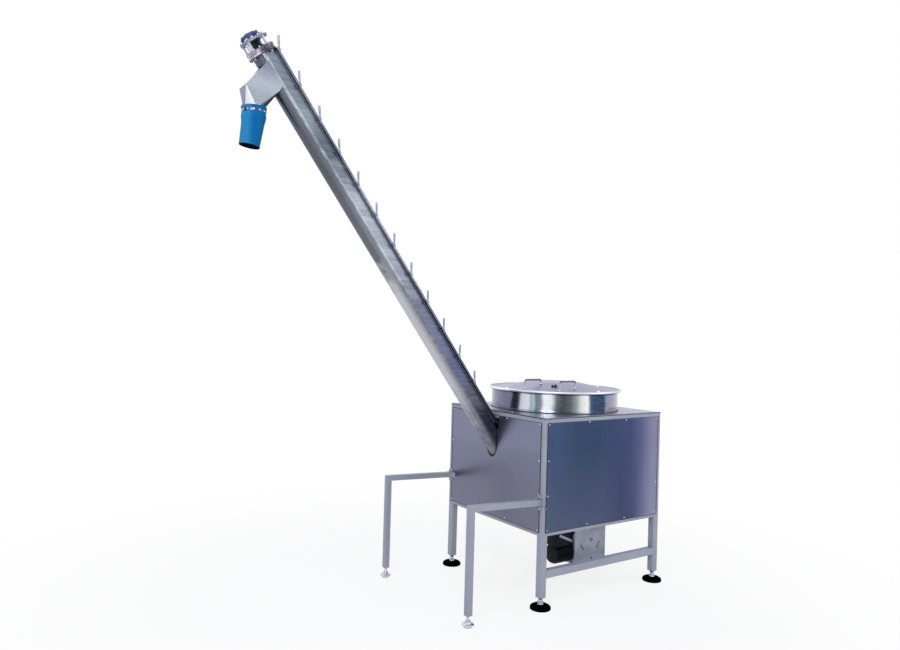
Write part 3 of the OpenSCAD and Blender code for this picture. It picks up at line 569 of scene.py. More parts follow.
def cap_screw(bm, matrix, radius, height=None):
    """A low button head with a hexagon socket."""
    h = height or radius * 0.75
    turned(bm, matrix, [(radius * 0.42, h * 0.45), (radius * 0.45, h), (radius * 0.62, h), (radius * 0.88, h * 0.72),
                        (radius, h * 0.25), (radius, 0)], 12)
    rod(bm, matrix, radius * 0.44, h * 0.45, 6)


def around(matrix, count, radius, height=0.0, first=0.0):
    """Places on a circle round a matrix's Z, evenly spread from an angle in degrees."""
    for i in range(count):
        a = math.radians(first + 360 * i / count)
        yield matrix @ moved(radius * math.cos(a), radius * math.sin(a), height)


def hex_nut(bm, matrix, radius, height, stud=0.0):
    """A chamfered hexagon nut with a washer, and the stud's end through it."""
    rod(bm, matrix, radius * 1.3, height * 0.18, 20)
    rod(bm, matrix @ moved(0, 0, height * 0.18), radius, height * 0.62, 6)
    rod(bm, matrix @ moved(0, 0, height * 0.8), radius * 0.92, height * 0.2, 12, radius * 0.8)
    if stud:
        rod(bm, matrix @ moved(0, 0, height), radius * 0.5, stud, 12)


def tube_path(bm, points, radius, sides=12):
    """A bent round bar through a list of points."""
    rings = []
    for i, point in enumerate(points):
        here = Vector(point)
        ahead = Vector(points[min(i + 1, len(points) - 1)]) - Vector(points[max(i - 1, 0)])
        rings.append(bmesh.ops.create_circle(bm, segments=sides, radius=radius, matrix=facing(ahead, here))["verts"])
    for a, b in zip(rings, rings[1:]):
        edges = [e for r in (a, b) for v in r for e in v.link_edges if e.other_vert(v) in r]
        bmesh.ops.bridge_loops(bm, edges=list(set(edges)))
    for r in (rings[0], rings[-1]):
        bmesh.ops.contextual_create(bm, geom=r)


def bend(a, corner, b, radius, steps=6):
    """Points of a rounded corner between two straight runs."""
    corner = Vector(corner)
    ua, ub = (Vector(a) - corner).normalized(), (Vector(b) - corner).normalized()
    start, end = corner + ua * radius, corner + ub * radius
    centre = start + ub * radius
    return [centre + (start - centre) * math.cos(t) + (end - centre) * math.sin(t)
            for t in (i * math.pi / 2 / steps for i in range(steps + 1))]


def linked(name, data):
    """A new object of the scene, with its data."""
    made = bpy.data.objects.new(name, data)
    bpy.context.scene.collection.objects.link(made)
    return made


def meshed(name, bm, cover):
    """A new object made of a bmesh, with its material."""
    mesh = bpy.data.meshes.new(name)
    bm.to_mesh(mesh)
    bm.free()
    mesh.materials.append(cover)
    return linked(name, mesh)


def piece(name, bm, finish_name, body="feeder", replaces=(), sharp=35.0):
    """Turns a bmesh into a finished piece that rides on a body."""
    bmesh.ops.recalc_face_normals(bm, faces=bm.faces)
    for face in bm.faces:
        face.smooth = True
    limit = math.radians(sharp)
    for edge in bm.edges:
        edge.smooth = len(edge.link_faces) == 2 and edge.calc_face_angle(0) < limit
    made = meshed(name, bm, material(finish_name))
    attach(made, body)
    if replaces:
        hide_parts(*replaces)
    return made


# ---------------------------------------------------------------- settings

def in_metres(name, about, default, low, high):
    """A setting for a length in metres."""
    return bpy.props.FloatProperty(name=name, description=about, default=default, min=low, max=high, unit="LENGTH")


class FeederSizes(bpy.types.PropertyGroup):
    """Sizes of the fittings that dress the feeder."""
    panel_screw: in_metres("Panel screw", "Radius of a panel screw's head", 0.0045, 0.003, 0.008)
    lever_length: in_metres("Lever length", "Length of a cover clamp's lever", 0.062, 0.04, 0.08)
    lever_radius: in_metres("Lever radius", "Radius of a cover clamp's grip", 0.006, 0.003, 0.008)
    handle_radius: in_metres("Handle radius", "Radius of a lid handle's bar", 0.005, 0.004, 0.007)
    sleeve_swell: in_metres("Sleeve swell", "How far the sleeve swells below its band", 0.004, 0.0, 0.01)


class FeederStage(bpy.types.PropertyGroup):
    """Light, floor and camera."""
    floor: bpy.props.FloatVectorProperty(name="Floor", description="Colour of the pale floor", subtype="COLOR",
                                         size=4, default=linear("#f4f4f6"), min=0, max=1)
    sky: bpy.props.FloatVectorProperty(name="Studio", description="Colour of the soft light from all round",
                                       subtype="COLOR", size=4, default=linear("#e6e9f2"), min=0, max=1)
    lens: bpy.props.FloatProperty(name="Lens", description="Focal length on a 36 mm sensor", default=CAMERA_LENS,
                                  min=10, max=100, unit="CAMERA")


class FeederOperator:
    """What the feeder's operators share: each builds its own pieces."""
    bl_options = {"REGISTER", "UNDO"}

    def execute(self, context):
        self.build(context)
        return {"FINISHED"}

    @property
    def sizes(self):
        return bpy.context.scene.feeder_sizes


class FEEDER_OT_finishes(FeederOperator, bpy.types.Operator):
    """Give each CAD node its finish"""
    bl_idname = "feeder.finishes"
    bl_label = "Finishes"

    def build(self, context):
        special = {"panel_front": "front_steel", "panel_back": "front_steel", "discharge_chute": "chute_steel",
                   "deck_plate": "deck_steel"}
        slots = {s["node"]: s["material_slot"] for s in frame["record"]["subparts"]}
        for name, node in frame["nodes"].items():
            node.data.materials.clear()
            node.data.materials.append(material(special.get(name, slots[name])))


class FEEDER_OT_panel_screws(FeederOperator, bpy.types.Operator):
    """Screw the panels and the deck to the frame, with painted shadow strips in the gaps at their edges"""
    bl_idname = "feeder.panel_screws"
    bl_label = "Panel screws"

    def build(self, context):
        r = self.sizes.panel_screw
        rows, xs, ys = (0.960, 0.770, 0.585, 0.408), (0.033, 0.324, 0.615, 0.877), (0.033, 0.309, 0.570, 0.827)
        line = 0.0012
        deck_low, deck_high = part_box("deck_plate")
        screws, shadow_gaps = bmesh.new(), bmesh.new()
        # Painted shadow: thin dark strips in the gap under the deck's edges
        for y in (FRONT - 0.0002, BACK + 0.0002):
            block(shadow_gaps, moved((LEFT + RIGHT) / 2, y, deck_low.z - 0.0015), (RIGHT - LEFT, 0.0024, 0.003), 0.0004)
        for x in (LEFT - 0.0002, RIGHT + 0.0002):
            block(shadow_gaps, moved(x, (FRONT + BACK) / 2, deck_low.z - 0.0015), (0.0024, BACK - FRONT, 0.003), 0.0004)
        # side is the axis that a panel faces along, across the one along its width
        for name, side, sign in (("panel_front", 1, -1), ("panel_back", 1, 1), ("panel_left", 0, -1),
                                 ("panel_right", 0, 1)):
            low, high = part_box(name)
            plane, across = (low if sign < 0 else high)[side], 1 - side
            normal = (0, sign, 0) if side else (sign, 0, 0)
            for i, along in enumerate(xs if side else ys):
                for k, z in enumerate(rows):
                    if (i in (0, 3) or k in (0, 3)) and not (name == "panel_left" and k == 2):
                        place = [LEFT + along, FRONT + along, z]
                        place[side] = plane
                        cap_screw(screws, facing(normal, place), r)
            # Painted shadow: thin dark strips along each panel's edges, where the gaps are
            edges = [(end, low.z, 0.0045, high.z - low.z) for end in (low[across] + 0.001, high[across] - 0.001)]
            edges += [(middle(low, high)[across], z, high[across] - low[across], 0.002)
                      for z in (low.z, high.z - 0.002)]
            for centre, z, width, height in edges:
                place, size = [0, 0, z], [line, line, height]
                place[side], place[across], size[across] = plane, centre, width
                block(shadow_gaps, moved(*place), size)
        spots = [(x, y) for x in (0.03, 0.32, 0.61, 0.88) for y in (0.028, 0.832)]
        spots += [(x, y) for x in (0.028, 0.882) for y in (0.3, 0.56)]
        for x, y in spots:
            cap_screw(screws, moved(LEFT + x, FRONT + y, deck_high.z), r)
        piece("panel_screws", screws, "bright_steel")
        piece("panel_shadow_gaps", shadow_gaps, "seal_rubber")


class FEEDER_OT_drum(FeederOperator, bpy.types.Operator):
    """Roll the drum's beads and lay its seal on the deck"""
    bl_idname = "feeder.drum"
    bl_label = "Drum beads and seal"

    def build(self, context):
        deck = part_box("deck_plate")[1].z
        bm = bmesh.new()
        ring(bm, moved(DRUM_X, DRUM_Y, DRUM_TOP - 0.012), DRUM_R + 0.0005, 0.0035, DRUM_STEPS, 8)
        ring(bm, moved(DRUM_X, DRUM_Y, deck + 0.013), DRUM_R, 0.0018, DRUM_STEPS, 8)
        piece("drum_beads", bm, "drum_steel")
        bm = bmesh.new()
        turned(bm, moved(DRUM_X, DRUM_Y, deck), [(DRUM_R, 0.0), (DRUM_R, 0.005), (DRUM_R + 0.004, 0.0045),
                                                 (DRUM_R + 0.007, 0.0)], DRUM_STEPS, closed=True)
        piece("drum_seal", bm, "seal_rubber")


class FEEDER_OT_lid(FeederOperator, bpy.types.Operator):
    """Spin the lid with its rolled rim, knobs and latch"""
    bl_idname = "feeder.lid"
    bl_label = "Lid"

    def build(self, context):
        low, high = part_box("lid")
        r = (high.x - low.x) / 2
        roll, t, crown = 0.007, LID_SHEET, LID_RISE + LID_SHEET
        rim, cone = r - roll, r - 0.060
        top = [(0, crown), (0.06, crown), (LID_FLAT - 0.010, crown - 0.0008), (LID_FLAT, crown - 0.0018),
               (LID_FLAT + 0.015, crown - 0.0048), (cone - 0.02, t + 0.0045), (cone, t + 0.0008), (cone + 0.02, t),
               (rim - 0.010, t + 0.001)]
        wire = [(rim + roll * math.sin(a), roll * math.cos(a)) for a in
                (math.radians(x) for x in range(-30, 300, 30))]
        under = [(rim - 0.008, 0.0), (cone, 0.0), (LID_FLAT, LID_RISE), (0, LID_RISE)]
        centre = moved(DRUM_X, DRUM_Y, DRUM_TOP)
        bm = bmesh.new()
        turned(bm, centre, top + wire + under, DRUM_STEPS)
        piece("lid_dish", bm, "lid_steel", "lid", ("lid",), sharp=50)
        bm = bmesh.new()
        for spot in around(centre, 4, rim - 0.022, t):
            turned(bm, spot, [(0, 0.011), (0.006, 0.0105), (0.010, 0.007), (0.011, 0.002), (0.012, 0)], 16)
        piece("lid_knobs", bm, "bright_steel", "lid")
        bm = bmesh.new()
        spot = centre @ moved(-0.153, -0.166, 0.0235) @ Matrix.Rotation(math.radians(-40), 4, "Z")
        block(bm, spot, (0.034, 0.014, 0.006), 0.0015)
        rod(bm, spot @ moved(0.008, 0, 0.005), 0.006, 0.008, 16)
        rod(bm, spot @ moved(-0.010, 0, 0.005), 0.004, 0.005, 12)
        piece("lid_latch", bm, "seal_rubber", "lid")


class FEEDER_OT_lid_handles(FeederOperator, bpy.types.Operator):
    """Bend the two lid handles and seat them on washers"""
    bl_idname = "feeder.lid_handles"
    bl_label = "Lid handles"

    def build(self, context):
        r = self.sizes.handle_radius
        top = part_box("lid_handles")[1].z - r
        bm = bmesh.new()
        for x, y in ((-0.225, -0.064), (-0.118, -0.239)):
            spot = Vector((DRUM_X + x, DRUM_Y + y, 0))
            ends = []
            for s in (-1, 1):
                reach = math.hypot(x + s * HANDLE_HALF, y)
                ends.append(DRUM_TOP + LID_SHEET + LID_RISE * min(1, max(0, (0.335 - reach) / 0.190)))
            foot_a, foot_b = (spot + Vector((s * HANDLE_HALF, 0, z - 0.001)) for s, z in zip((-1, 1), ends))
            high_a, high_b = (Vector((p.x, p.y, top)) for p in (foot_a, foot_b))
            corners = (*bend(foot_a, high_a, high_b, 0.014), *bend(high_a, high_b, foot_b, 0.014))
            tube_path(bm, (foot_a, *corners, foot_b), r, 16)
            for foot in (foot_a, foot_b):
                rod(bm, moved(*foot), r * 2.0, 0.0035, 20, r * 1.8)
        piece("handle_bars", bm, "handle_steel", "lid", ("lid_handles",), sharp=60)


class FEEDER_OT_trough(FeederOperator, bpy.types.Operator):
    """Edge the panel's cut-out and seam the trough"""
    bl_idname = "feeder.trough"
    bl_label = "Trough seams and edging"

    def build(self, context):
        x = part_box("panel_left")[0].x
        half, cover_half = TROUGH_HALF + 0.004, 0.0627
        bottom = TROUGH_Z + TROUGH_AXIS / math.cos(SLOPE)
        edge = [(cover_half, TOP - 0.024), (cover_half, TROUGH_Z - 0.023), (half, TROUGH_Z - 0.026)]
        arc = [(half * math.cos(a), bottom - half * math.sin(a) / math.cos(SLOPE))
               for a in (math.pi * i / 12 for i in range(13))]
        points = [(x, TROUGH_Y + y, z) for y, z in edge + arc + [(-y, z) for y, z in reversed(edge)]]
        bm = bmesh.new()
        tube_path(bm, points, 0.0022, 8)
        tube_path(bm, [(px, py - 0.002, pz + 0.002) for px, py, pz in points[2:11]], 0.0038, 8)
        piece("slot_edging", bm, "seal_rubber")
        bm = bmesh.new()
        for side in (-1, 1):
            for s, e in ((0.02, 0.75), (0.752, 1.5), (1.502, 2.24)):
                rod(bm, TROUGH @ moved(s, side * (TROUGH_HALF + 0.0002), -0.010) @ ALONG, 0.0016, e - s, 8)
        piece("trough_seams", bm, "lever_steel")


class FEEDER_OT_cover_clamps(FeederOperator, bpy.types.Operator):
    """Set the lever clamps along the cover"""
    bl_idname = "feeder.cover_clamps"
    bl_label = "Cover clamps"

    def build(self, context):
        length, r = self.sizes.lever_length, self.sizes.lever_radius
        bm = bmesh.new()
        out = 0.0643
        # Each lever leans a few degrees of its own
        for i, lean in enumerate((3, -3, 2, 2, 1, 1, 2, 2, 5, 6, 7, 5)):
            spot = TROUGH @ moved(CLAMP_FIRST + CLAMP_PITCH * i + 0.009 * (1 - i / 11), out, 0)
            block(bm, spot @ moved(0, -0.0005, -0.009), (0.020, 0.0095, 0.014), 0.0015)
            rod(bm, spot @ moved(0, -0.006, -0.001) @ Matrix.Rotation(-math.pi / 2, 4, "X"), 0.0032, 0.012, 12)
            upright = spot @ Matrix.Rotation(SLOPE + math.radians(lean), 4, "Y")
            rod(bm, upright, 0.0042, length * 0.4, 12)
            turned(bm, upright @ moved(0, 0, length * 0.3), [
                (0, 0), (r * 0.6, 0), (r * 0.78, length * 0.06), (r * 0.88, length * 0.3), (r * 0.9, length * 0.62),
                (r * 0.6, length * 0.68), (0, length * 0.7)], 16)
            hex_nut(bm, spot @ moved(0, -0.016, 0.0026), 0.0055, 0.006, 0.004)
            block(bm, spot @ moved(0, -0.009, 0.0028), (0.010, 0.018, 0.0025), 0.0006)
        piece("toggle_clamps", bm, "lever_steel", replaces=("cover_clamps",), sharp=45)


class FEEDER_OT_head(FeederOperator, bpy.types.Operator):
    """Bolt up the head: nuts, rods, lobed motor cap and port"""
    bl_idname = "feeder.head"
    bl_label = "Head and motor"

    def build(self, context):
        axis = TROUGH @ moved(0, 0, TROUGH_AXIS)
        base = axis @ moved(ROD_BASE, 0, 0) @ ALONG
        plate, plate_up, plate_t = 0.0607, 0.040, 0.012
        bm = bmesh.new()
        rod_half = 0.038
        for y in (-1, 1):
            for z in (-1, 1):
                spot = base @ moved(-rod_half * z, rod_half * y, 0)
                rod(bm, spot, 0.0052, plate_up, 16)
                hex_nut(bm, spot, 0.0085, 0.009)
                hex_nut(bm, spot @ moved(0, 0, plate_up) @ Matrix.Rotation(math.pi, 4, "X"), 0.0075, 0.007)
                hex_nut(bm, spot @ moved(0, 0, plate_up + plate_t), 0.0075, 0.007, 0.001)
        piece("rods_and_nuts", bm, "bright_steel", replaces=("standoff_rods",))
        bm = bmesh.new()
        ring_centre = axis @ moved(TROUGH_UP, 0, 0.012) @ ALONG
        for i, spot in enumerate(around(ring_centre, 8, 0.0615, first=22.5)):
            hex_nut(bm, spot @ moved(0, 0, 0.030), 0.0055, 0.0055, 0.002)
            size, length = (0.0075, 0.0225) if i == 1 else (0.0055, 0.0055)
            hex_nut(bm, spot @ Matrix.Rotation(math.pi, 4, "X"), size, length, 0.002)
        piece("flange_bolts", bm, "bright_steel")
        bm = bmesh.new()
        turned(bm, axis @ moved(TROUGH_UP - 0.0005, 0, 0.012) @ ALONG,
               [(0.0692, 0), (0.0704, 0), (0.0704, 0.0045), (0.0692, 0.0045)], 64, closed=True)
        piece("flange_gasket", bm, "seal_rubber")
        bm = bmesh.new()
        turned(bm, base, [(0, 0), (0.0425, 0.0), (0.043, 0.001), (0.043, 0.009), (0.038, 0.011), (0.038, 0.029),
                          (0.043, 0.031), (0.043, 0.0399), (0, 0.0399)], 64)
        piece("coupling_housing", bm, "coupling_steel")
        bm = bmesh.new()
        turned(bm, base @ moved(0, 0, plate_up), [(0, 0), (plate - 0.0012, 0), (plate, 0.0012), (plate, 0.0108),
                                                  (plate - 0.0012, plate_t), (0, plate_t)], 64)
        heads = bmesh.new()
        for spot in around(base, 10, 0.0535, plate_up + plate_t):
            cap_screw(heads, spot, 0.0062, 0.006)
        piece("mounting_plate", bm, "lever_steel")
        piece("cap_screws", heads, "bright_steel")
        bm = bmesh.new()
        high = base @ moved(0, 0, plate_up + plate_t)
        turned(bm, high, [(0, 0), (0.0475, 0), (0.048, 0.001), (0.048, 0.007), (0.046, 0.0095), (0.0475, 0.0115),
                          (0.0445, 0.0175), (0.039, 0.0230), (0.030, 0.0264), (0.0175, 0.028), (0.017, 0.0298),
                          (0, 0.0299)], 64)
        for spot in around(high, 5, 0.034, 0.001):
            turned(bm, spot, [(0, 0), (0.011, 0), (0.011, 0.019), (0.009, 0.0224), (0.005, 0.0238), (0, 0.0239)], 20)
        for spot in around(high, 3, 0.018, 0.02, 30):
            turned(bm, spot, [(0, 0), (0.0075, 0), (0.0075, 0.0092), (0.005, 0.0097), (0, 0.0098)], 16)
        piece("motor_cap", bm, "motor_navy", replaces=("screw_motor",), sharp=40)
        bm = bmesh.new()
        port = axis @ moved(ROD_BASE + plate_up + plate_t / 2, 0, plate - 0.001)
        turned(bm, port, [(0, 0), (0.0052, 0), (0.0052, 0.0045), (0.0076, 0.0065), (0.0092, 0.0105), (0.0092, 0.0150),
                          (0.0076, 0.0198), (0.0044, 0.0223), (0, 0.0229)], 24)
        piece("port_cap", bm, "port_plastic", replaces=("motor_port",))


class FEEDER_OT_discharge(FeederOperator, bpy.types.Operator):
    """Sew the cloth sleeve and strap it to the outlet collar"""
    bl_idname = "feeder.discharge"
    bl_label = "Sleeve and band"

    def build(self, context):
        collar_low, collar_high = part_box("outlet_collar")
        x, y = middle(collar_low, collar_high).xy
        radius = (collar_high.x - collar_low.x) / 2 + 0.0012
        top = collar_high.z - 0.002
        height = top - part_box("discharge_sleeve")[0].z
        steps, down = 96, 56
        bm = bmesh.new()
        uv = bm.loops.layers.uv.new("cloth")
        rows = []
        band = top - middle(*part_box("sleeve_clamp")).z
        for k in range(down + 1):
            fall = height * k / down
            t = fall / height
            tight = math.exp(-((fall - band) / 0.010) ** 2)
            below = max(0.0, fall - band - 0.008)
            swell = self.sizes.sleeve_swell * math.exp(-((below - 0.014) / 0.022) ** 2)
            lean = 0.016 * max(0.0, (t - 0.22) / 0.78) ** 1.1
            taper = -0.0056 * max(0.0, (t - 0.3) / 0.7) + 0.0034 * math.exp(-(fall / 0.009) ** 2)
            row = []
            for i in range(steps):
                a = 2 * math.pi * i / steps
                pleat = 0.0011 * math.cos(11 * a + 1.3) * math.exp(-(below / 0.028) ** 2) * (1 - tight)
                pleat += 0.0013 * math.cos(2 * a + 0.7 + 1.8 * t) * t + 0.0009 * math.cos(3 * a + 5 * t) * t
                crease = -0.0016 * math.exp(-((fall - 0.078 - 0.004 * math.cos(a)) / 0.0035) ** 2)
                crease *= max(0, math.cos(a + 1.7)) ** 3
                r = radius + swell + taper + pleat + crease - 0.0006 * tight
                hem = 0.0008 if t > 0.955 else 0.0
                row.append(bm.verts.new((x - lean + (r + hem) * math.cos(a), y + (r + hem) * math.sin(a),
                                         top - fall - 0.0073 * t * math.cos(a + 0.3))))
            rows.append(row)
        span = 2 * math.pi * radius / steps
        for k in range(down):
            for i in range(steps):
                j = (i + 1) % steps
                face = bm.faces.new((rows[k][i], rows[k + 1][i], rows[k + 1][j], rows[k][j]))
                for loop, (u, v) in zip(face.loops, ((i, k), (i, k + 1), (i + 1, k + 1), (i + 1, k))):
                    loop[uv].uv = (u * span, -v * height / down)
        sleeve = piece("cloth_sleeve", bm, "sleeve_cloth", replaces=("discharge_sleeve",), sharp=80)
        shell = sleeve.modifiers.new("Cloth thickness", "SOLIDIFY")
        shell.thickness, shell.offset, shell.material_offset = 0.0012, -1.0, 1
        sleeve.data.materials.append(material("lining_cloth"))
        bm = bmesh.new()
        z = top - band
        turned(bm, moved(x, y, z - 0.007), [(radius + 0.0008, 0), (radius + 0.0022, 0.0), (radius + 0.0022, 0.014),
                                            (radius + 0.0008, 0.014)], 96, closed=True)
        studs = bmesh.new()
        clamp = moved(x, y, z)
        for spot in around(clamp, 12, radius + 0.0018, first=10.5):
            cap_screw(studs, facing(spot.translation - clamp.translation, spot.translation), 0.0052, 0.0034)
        lug = next(around(clamp, 1, radius, first=-150)).translation
        block(bm, facing(lug - clamp.translation, lug), (0.016, 0.012, 0.009), 0.0015)
        piece("worm_band", bm, "handle_steel", replaces=("sleeve_clamp",))
        piece("band_studs", studs, "bright_steel")


class FEEDER_OT_feet(FeederOperator, bpy.types.Operator):
    """Thread the levelling studs and turn the outrigger feet"""
    bl_idname = "feeder.feet"
    bl_label = "Feet"

    def build(self, context):
        bm = bmesh.new()
        for name in ("foot_front_left", "foot_front_right", "foot_back_left", "foot_back_right"):
            x, y = middle(*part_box(name)).xy
            turned(bm, moved(x, y, 0.0262), [(0, 0), (0.0155, 0), (0.014, 0.004), (0.0105, 0.0052), (0.0085, 0.006)]
                   + [(0.0085 + 0.0007 * (k % 2), 0.007 + 0.0012 * k) for k in range(10)], 20)
            hex_nut(bm, moved(x, y, 0.0385), 0.0118, 0.0095)
        piece("stud_nuts", bm, "bright_steel")
        bm = bmesh.new()
        low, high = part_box("outrigger_feet")
        x = middle(low, high).x
        for y in (low.y + 0.031, high.y - 0.031):
            turned(bm, moved(x, y, 0), [(0, 0), (0.020, 0), (0.0215, 0.0015), (0.0215, 0.0085), (0.0265, 0.0105),
                                        (0.0305, 0.0125), (0.031, 0.0145), (0.0295, 0.0165), (0.021, 0.0185),
                                        (0.0175, 0.022), (0.0135, 0.0275), (0.0095, 0.0305), (0.0085, 0.0345),
                                        (0.0062, 0.036)]
                   + [(0.006 + 0.0006 * (k % 2), 0.037 + 0.0012 * k) for k in range(15)] + [(0.006, 0.0558)], 32)
            hex_nut(bm, moved(x, y, 0.0295), 0.0105, 0.008)
        piece("levelling_feet", bm, "bright_steel", replaces=("outrigger_feet",), sharp=40)


class FEEDER_OT_arm_clamps(FeederOperator, bpy.types.Operator):
    """Fit the U clamps that hold the outriggers to the posts"""
    bl_idname = "feeder.arm_clamps"
    bl_label = "Outrigger clamps"

    def build(self, context):
        low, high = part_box("outrigger_clamps")
        level = middle(low, high).z
        bm = bmesh.new()
        for arm, side in (("outrigger_front", -1), ("outrigger_back", 1)):
            near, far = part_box(arm)
            y = middle(near, far).y
            for z in (-1, 1):
                spot = facing((-1, 0, 0), (high.x, y, level + z * 0.028))
                block(bm, spot, (0.026, 0.024, 0.010), 0.004, 3)
                cap_screw(bm, spot @ moved(0, 0, 0.0098), 0.0072, 0.0055)
                outer = facing((0, side, 0), (high.x + 0.020, (near if side < 0 else far).y + side * 0.0052,
                                              level + z * 0.034))
                cap_screw(bm, outer, 0.006, 0.0045)
            block(bm, facing((-1, 0, 0), (high.x, y, level)), (0.0825, 0.030, 0.003), 0.0008)
        piece("clamp_ears", bm, "frame_paint", replaces=("outrigger_clamps",), sharp=40)


class FEEDER_OT_drive(FeederOperator, bpy.types.Operator):
    """Detail the gear case, its bracket and the motor under the hopper"""
    bl_idname = "feeder.drive"
    bl_label = "Drive"

    def build(self, context):
        low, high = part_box("gear_case")
        w, h = high.x - low.x, high.z - low.z
        front = (0, -1, 0)
        bm = bmesh.new()
        for x, z in ((0.42, 0.975), (0.5, 0.972), (0.05, 0.05), (0.95, 0.95), (0.55, 0.13)):
            cap_screw(bm, facing(front, (low.x + x * w, low.y, low.z + z * h)), 0.0055)
        ring(bm, facing(front, (low.x + 0.53 * w, low.y, low.z + 0.62 * h)), 0.0085, 0.002, 24, 8)
        for x, lean in ((0.24, -1), (0.76, 1)):
            for k in range(3):
                cap_screw(bm, facing(front, (low.x + (x + 0.035 * (k - 1)) * w, low.y,
                                             low.z + (0.46 + lean * 0.055 * (k - 1)) * h)), 0.0045)
        left = facing((-1, 0, 0), (low.x + 0.005, 0, 0))
        for y, z in ((0.022, 0.36), (0.092, 0.36), (0.03, 0.08), (0.092, 0.1)):
            cap_screw(bm, moved(0, low.y + y, low.z + z * h) @ left, 0.005)
        piece("case_screws", bm, "seal_rubber")
        bm = bmesh.new()
        strap = [(low.x - 0.004, low.y + 0.012, high.z - 0.075), (low.x - 0.105, low.y + 0.012, high.z - 0.030)]
        a, b = (Vector(p) for p in strap)
        block(bm, facing(b - a, a), (0.004, 0.014, (b - a).length), 0.001)
        block(bm, moved(low.x - 0.002, low.y + 0.012, high.z - 0.062), (0.008, 0.020, 0.030), 0.0015)
        piece("motor_strap", bm, "lever_steel")
        bm = bmesh.new()
        mlow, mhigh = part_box("finned_motor")
        my, mz = middle(mlow, mhigh).yz
        r = (mhigh.z - mlow.z) / 2
        along = facing((-1, 0, 0), (mhigh.x, my, mz))
        turned(bm, along, [(0, 0), (r - 0.010, 0), (r - 0.010, 0.004)]
               + [(r - depth, 0.008 + 0.0092 * k + along_fin) for k in range(12) for depth, along_fin in
                  ((0.0, 0.0), (0.0, 0.0028), (0.009, 0.0040), (0.009, 0.0080))]
               + [(r - 0.004, 0.1185), (r - 0.006, 0.127), (r - 0.016, 0.1298), (0, 0.1299)], 48)
        block(bm, moved(mhigh.x - 0.065, my, mz + r - 0.012), (0.126, 0.084, high.z - mz - r + 0.010), 0.004, 3)
        piece("motor_fins", bm, "motor_black", replaces=("finned_motor",), sharp=40)


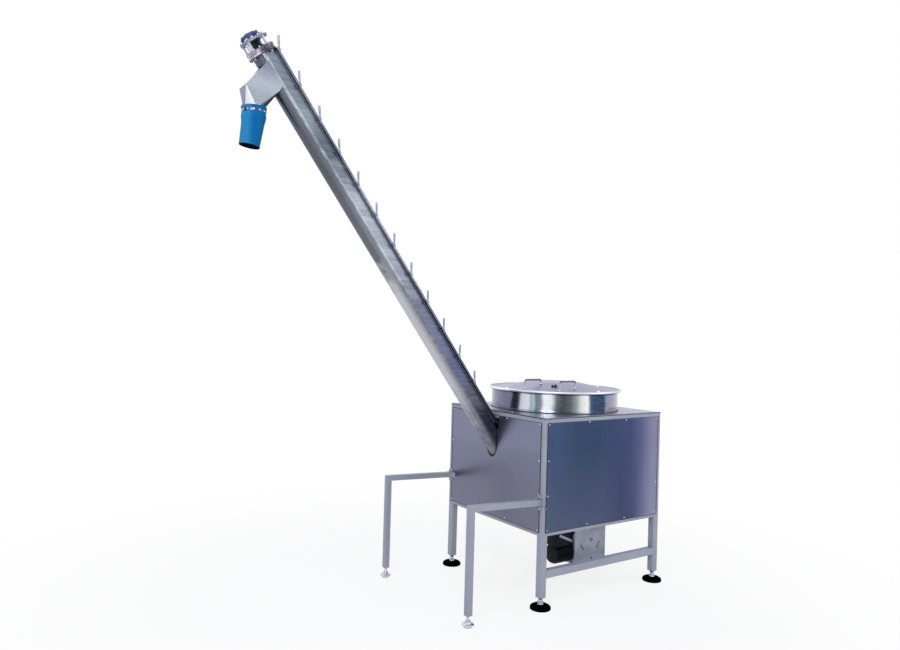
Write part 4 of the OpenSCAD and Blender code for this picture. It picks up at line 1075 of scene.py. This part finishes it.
class FEEDER_OT_stage(FeederOperator, bpy.types.Operator):
    """Make the camera, the pale floor and the soft studio light"""
    bl_idname = "feeder.stage"
    bl_label = "Stage"

    def build(self, context):
        scene, stage = context.scene, context.scene.feeder_stage
        scene.view_settings.view_transform = "Standard"
        yaw, pitch, roll = (math.radians(x) for x in CAMERA_TURN)
        ahead = Vector((math.sin(yaw) * math.cos(pitch), math.cos(yaw) * math.cos(pitch), math.sin(pitch)))
        right = Vector((math.cos(yaw), -math.sin(yaw), 0))
        up = right.cross(ahead)
        r = right * math.cos(roll) + up * math.sin(roll)
        u = up * math.cos(roll) - right * math.sin(roll)
        turn = Matrix((r, u, -ahead)).transposed().to_4x4()
        lens = bpy.data.cameras.new("Camera")
        lens.lens, lens.sensor_width, lens.clip_start, lens.clip_end = stage.lens, 36, 0.05, 100
        camera = linked("Camera", lens)
        camera.matrix_world = moved(*CAMERA_PLACE) @ turn
        scene.camera = camera

        scene.world = bpy.data.worlds.new("Studio")
        node = new_tree(scene.world)
        soft = node("Background", {"Color": stage.sky, "Strength": 0.62}, 0)
        white = node("Background", {"Color": "#ffffff", "Strength": 1.0}, 0)
        node("OutputWorld", {"Surface": node("MixShader", {0: seen_rays(node), 1: soft, 2: white}, 0)})

        pale = bpy.data.materials.new("Pale Floor")
        node = new_tree(pale)
        away = node("VectorMath", {0: coords(node)}, "Value", operation="LENGTH")
        fade = node("MapRange", {0: away, 1: 1.2, 2: 3.0, 3: 0.82, 4: 1.0}, 0)
        share = node("Math", {0: seen_rays(node), 1: fade}, 0, operation="MULTIPLY")
        matt = node("BsdfDiffuse", {"Color": stage.floor}, 0)
        glow = node("Emission", {"Color": "#ffffff", "Strength": 1.0}, 0)
        node("OutputMaterial", {"Surface": node("MixShader", {0: share, 1: matt, 2: glow}, 0)})
        bm = bmesh.new()
        bmesh.ops.create_grid(bm, x_segments=1, y_segments=1, size=30)
        floor = meshed("floor", bm, pale)

        for name, place, size, energy in (("Key", (-3.6, -3.4, 4.6), 2.6, 150), ("Fill", (3.8, -3.4, 2.6), 3.0, 50),
                                          ("Rim", (1.0, 4.2, 4.0), 3.0, 60)):
            light = bpy.data.lights.new(name, "AREA")
            light.size, light.energy = size, energy
            linked(name, light).matrix_world = facing(Vector(place) - Vector((0, 0, 1.0)), place)


OPERATORS = (FEEDER_OT_stage, FEEDER_OT_finishes, FEEDER_OT_panel_screws, FEEDER_OT_drum, FEEDER_OT_lid,
             FEEDER_OT_lid_handles, FEEDER_OT_trough, FEEDER_OT_cover_clamps, FEEDER_OT_head, FEEDER_OT_discharge,
             FEEDER_OT_feet, FEEDER_OT_arm_clamps, FEEDER_OT_drive)


class FEEDER_PT_panel(bpy.types.Panel):
    """Lists the feeder's pieces and settings"""
    bl_idname = "FEEDER_PT_panel"
    bl_label = "Screw feeder"
    bl_space_type = "VIEW_3D"
    bl_region_type = "UI"
    bl_category = "Feeder"

    def draw(self, context):
        for group in (context.scene.feeder_sizes, context.scene.feeder_stage):
            for name in group.__annotations__:
                self.layout.prop(group, name)
        for operator in OPERATORS:
            self.layout.operator(operator.bl_idname)


CLASSES = (FeederSizes, FeederStage, *OPERATORS, FEEDER_PT_panel)


def register():
    for cls in CLASSES:
        bpy.utils.register_class(cls)
    bpy.types.Scene.feeder_sizes = bpy.props.PointerProperty(type=FeederSizes)
    bpy.types.Scene.feeder_stage = bpy.props.PointerProperty(type=FeederStage)


def unregister():
    del bpy.types.Scene.feeder_stage
    del bpy.types.Scene.feeder_sizes
    for cls in reversed(CLASSES):
        bpy.utils.unregister_class(cls)


def main():
    register()
    for operator in OPERATORS:
        getattr(bpy.ops.feeder, operator.bl_idname.split(".")[1])()


if __name__ == "__main__":
    main()
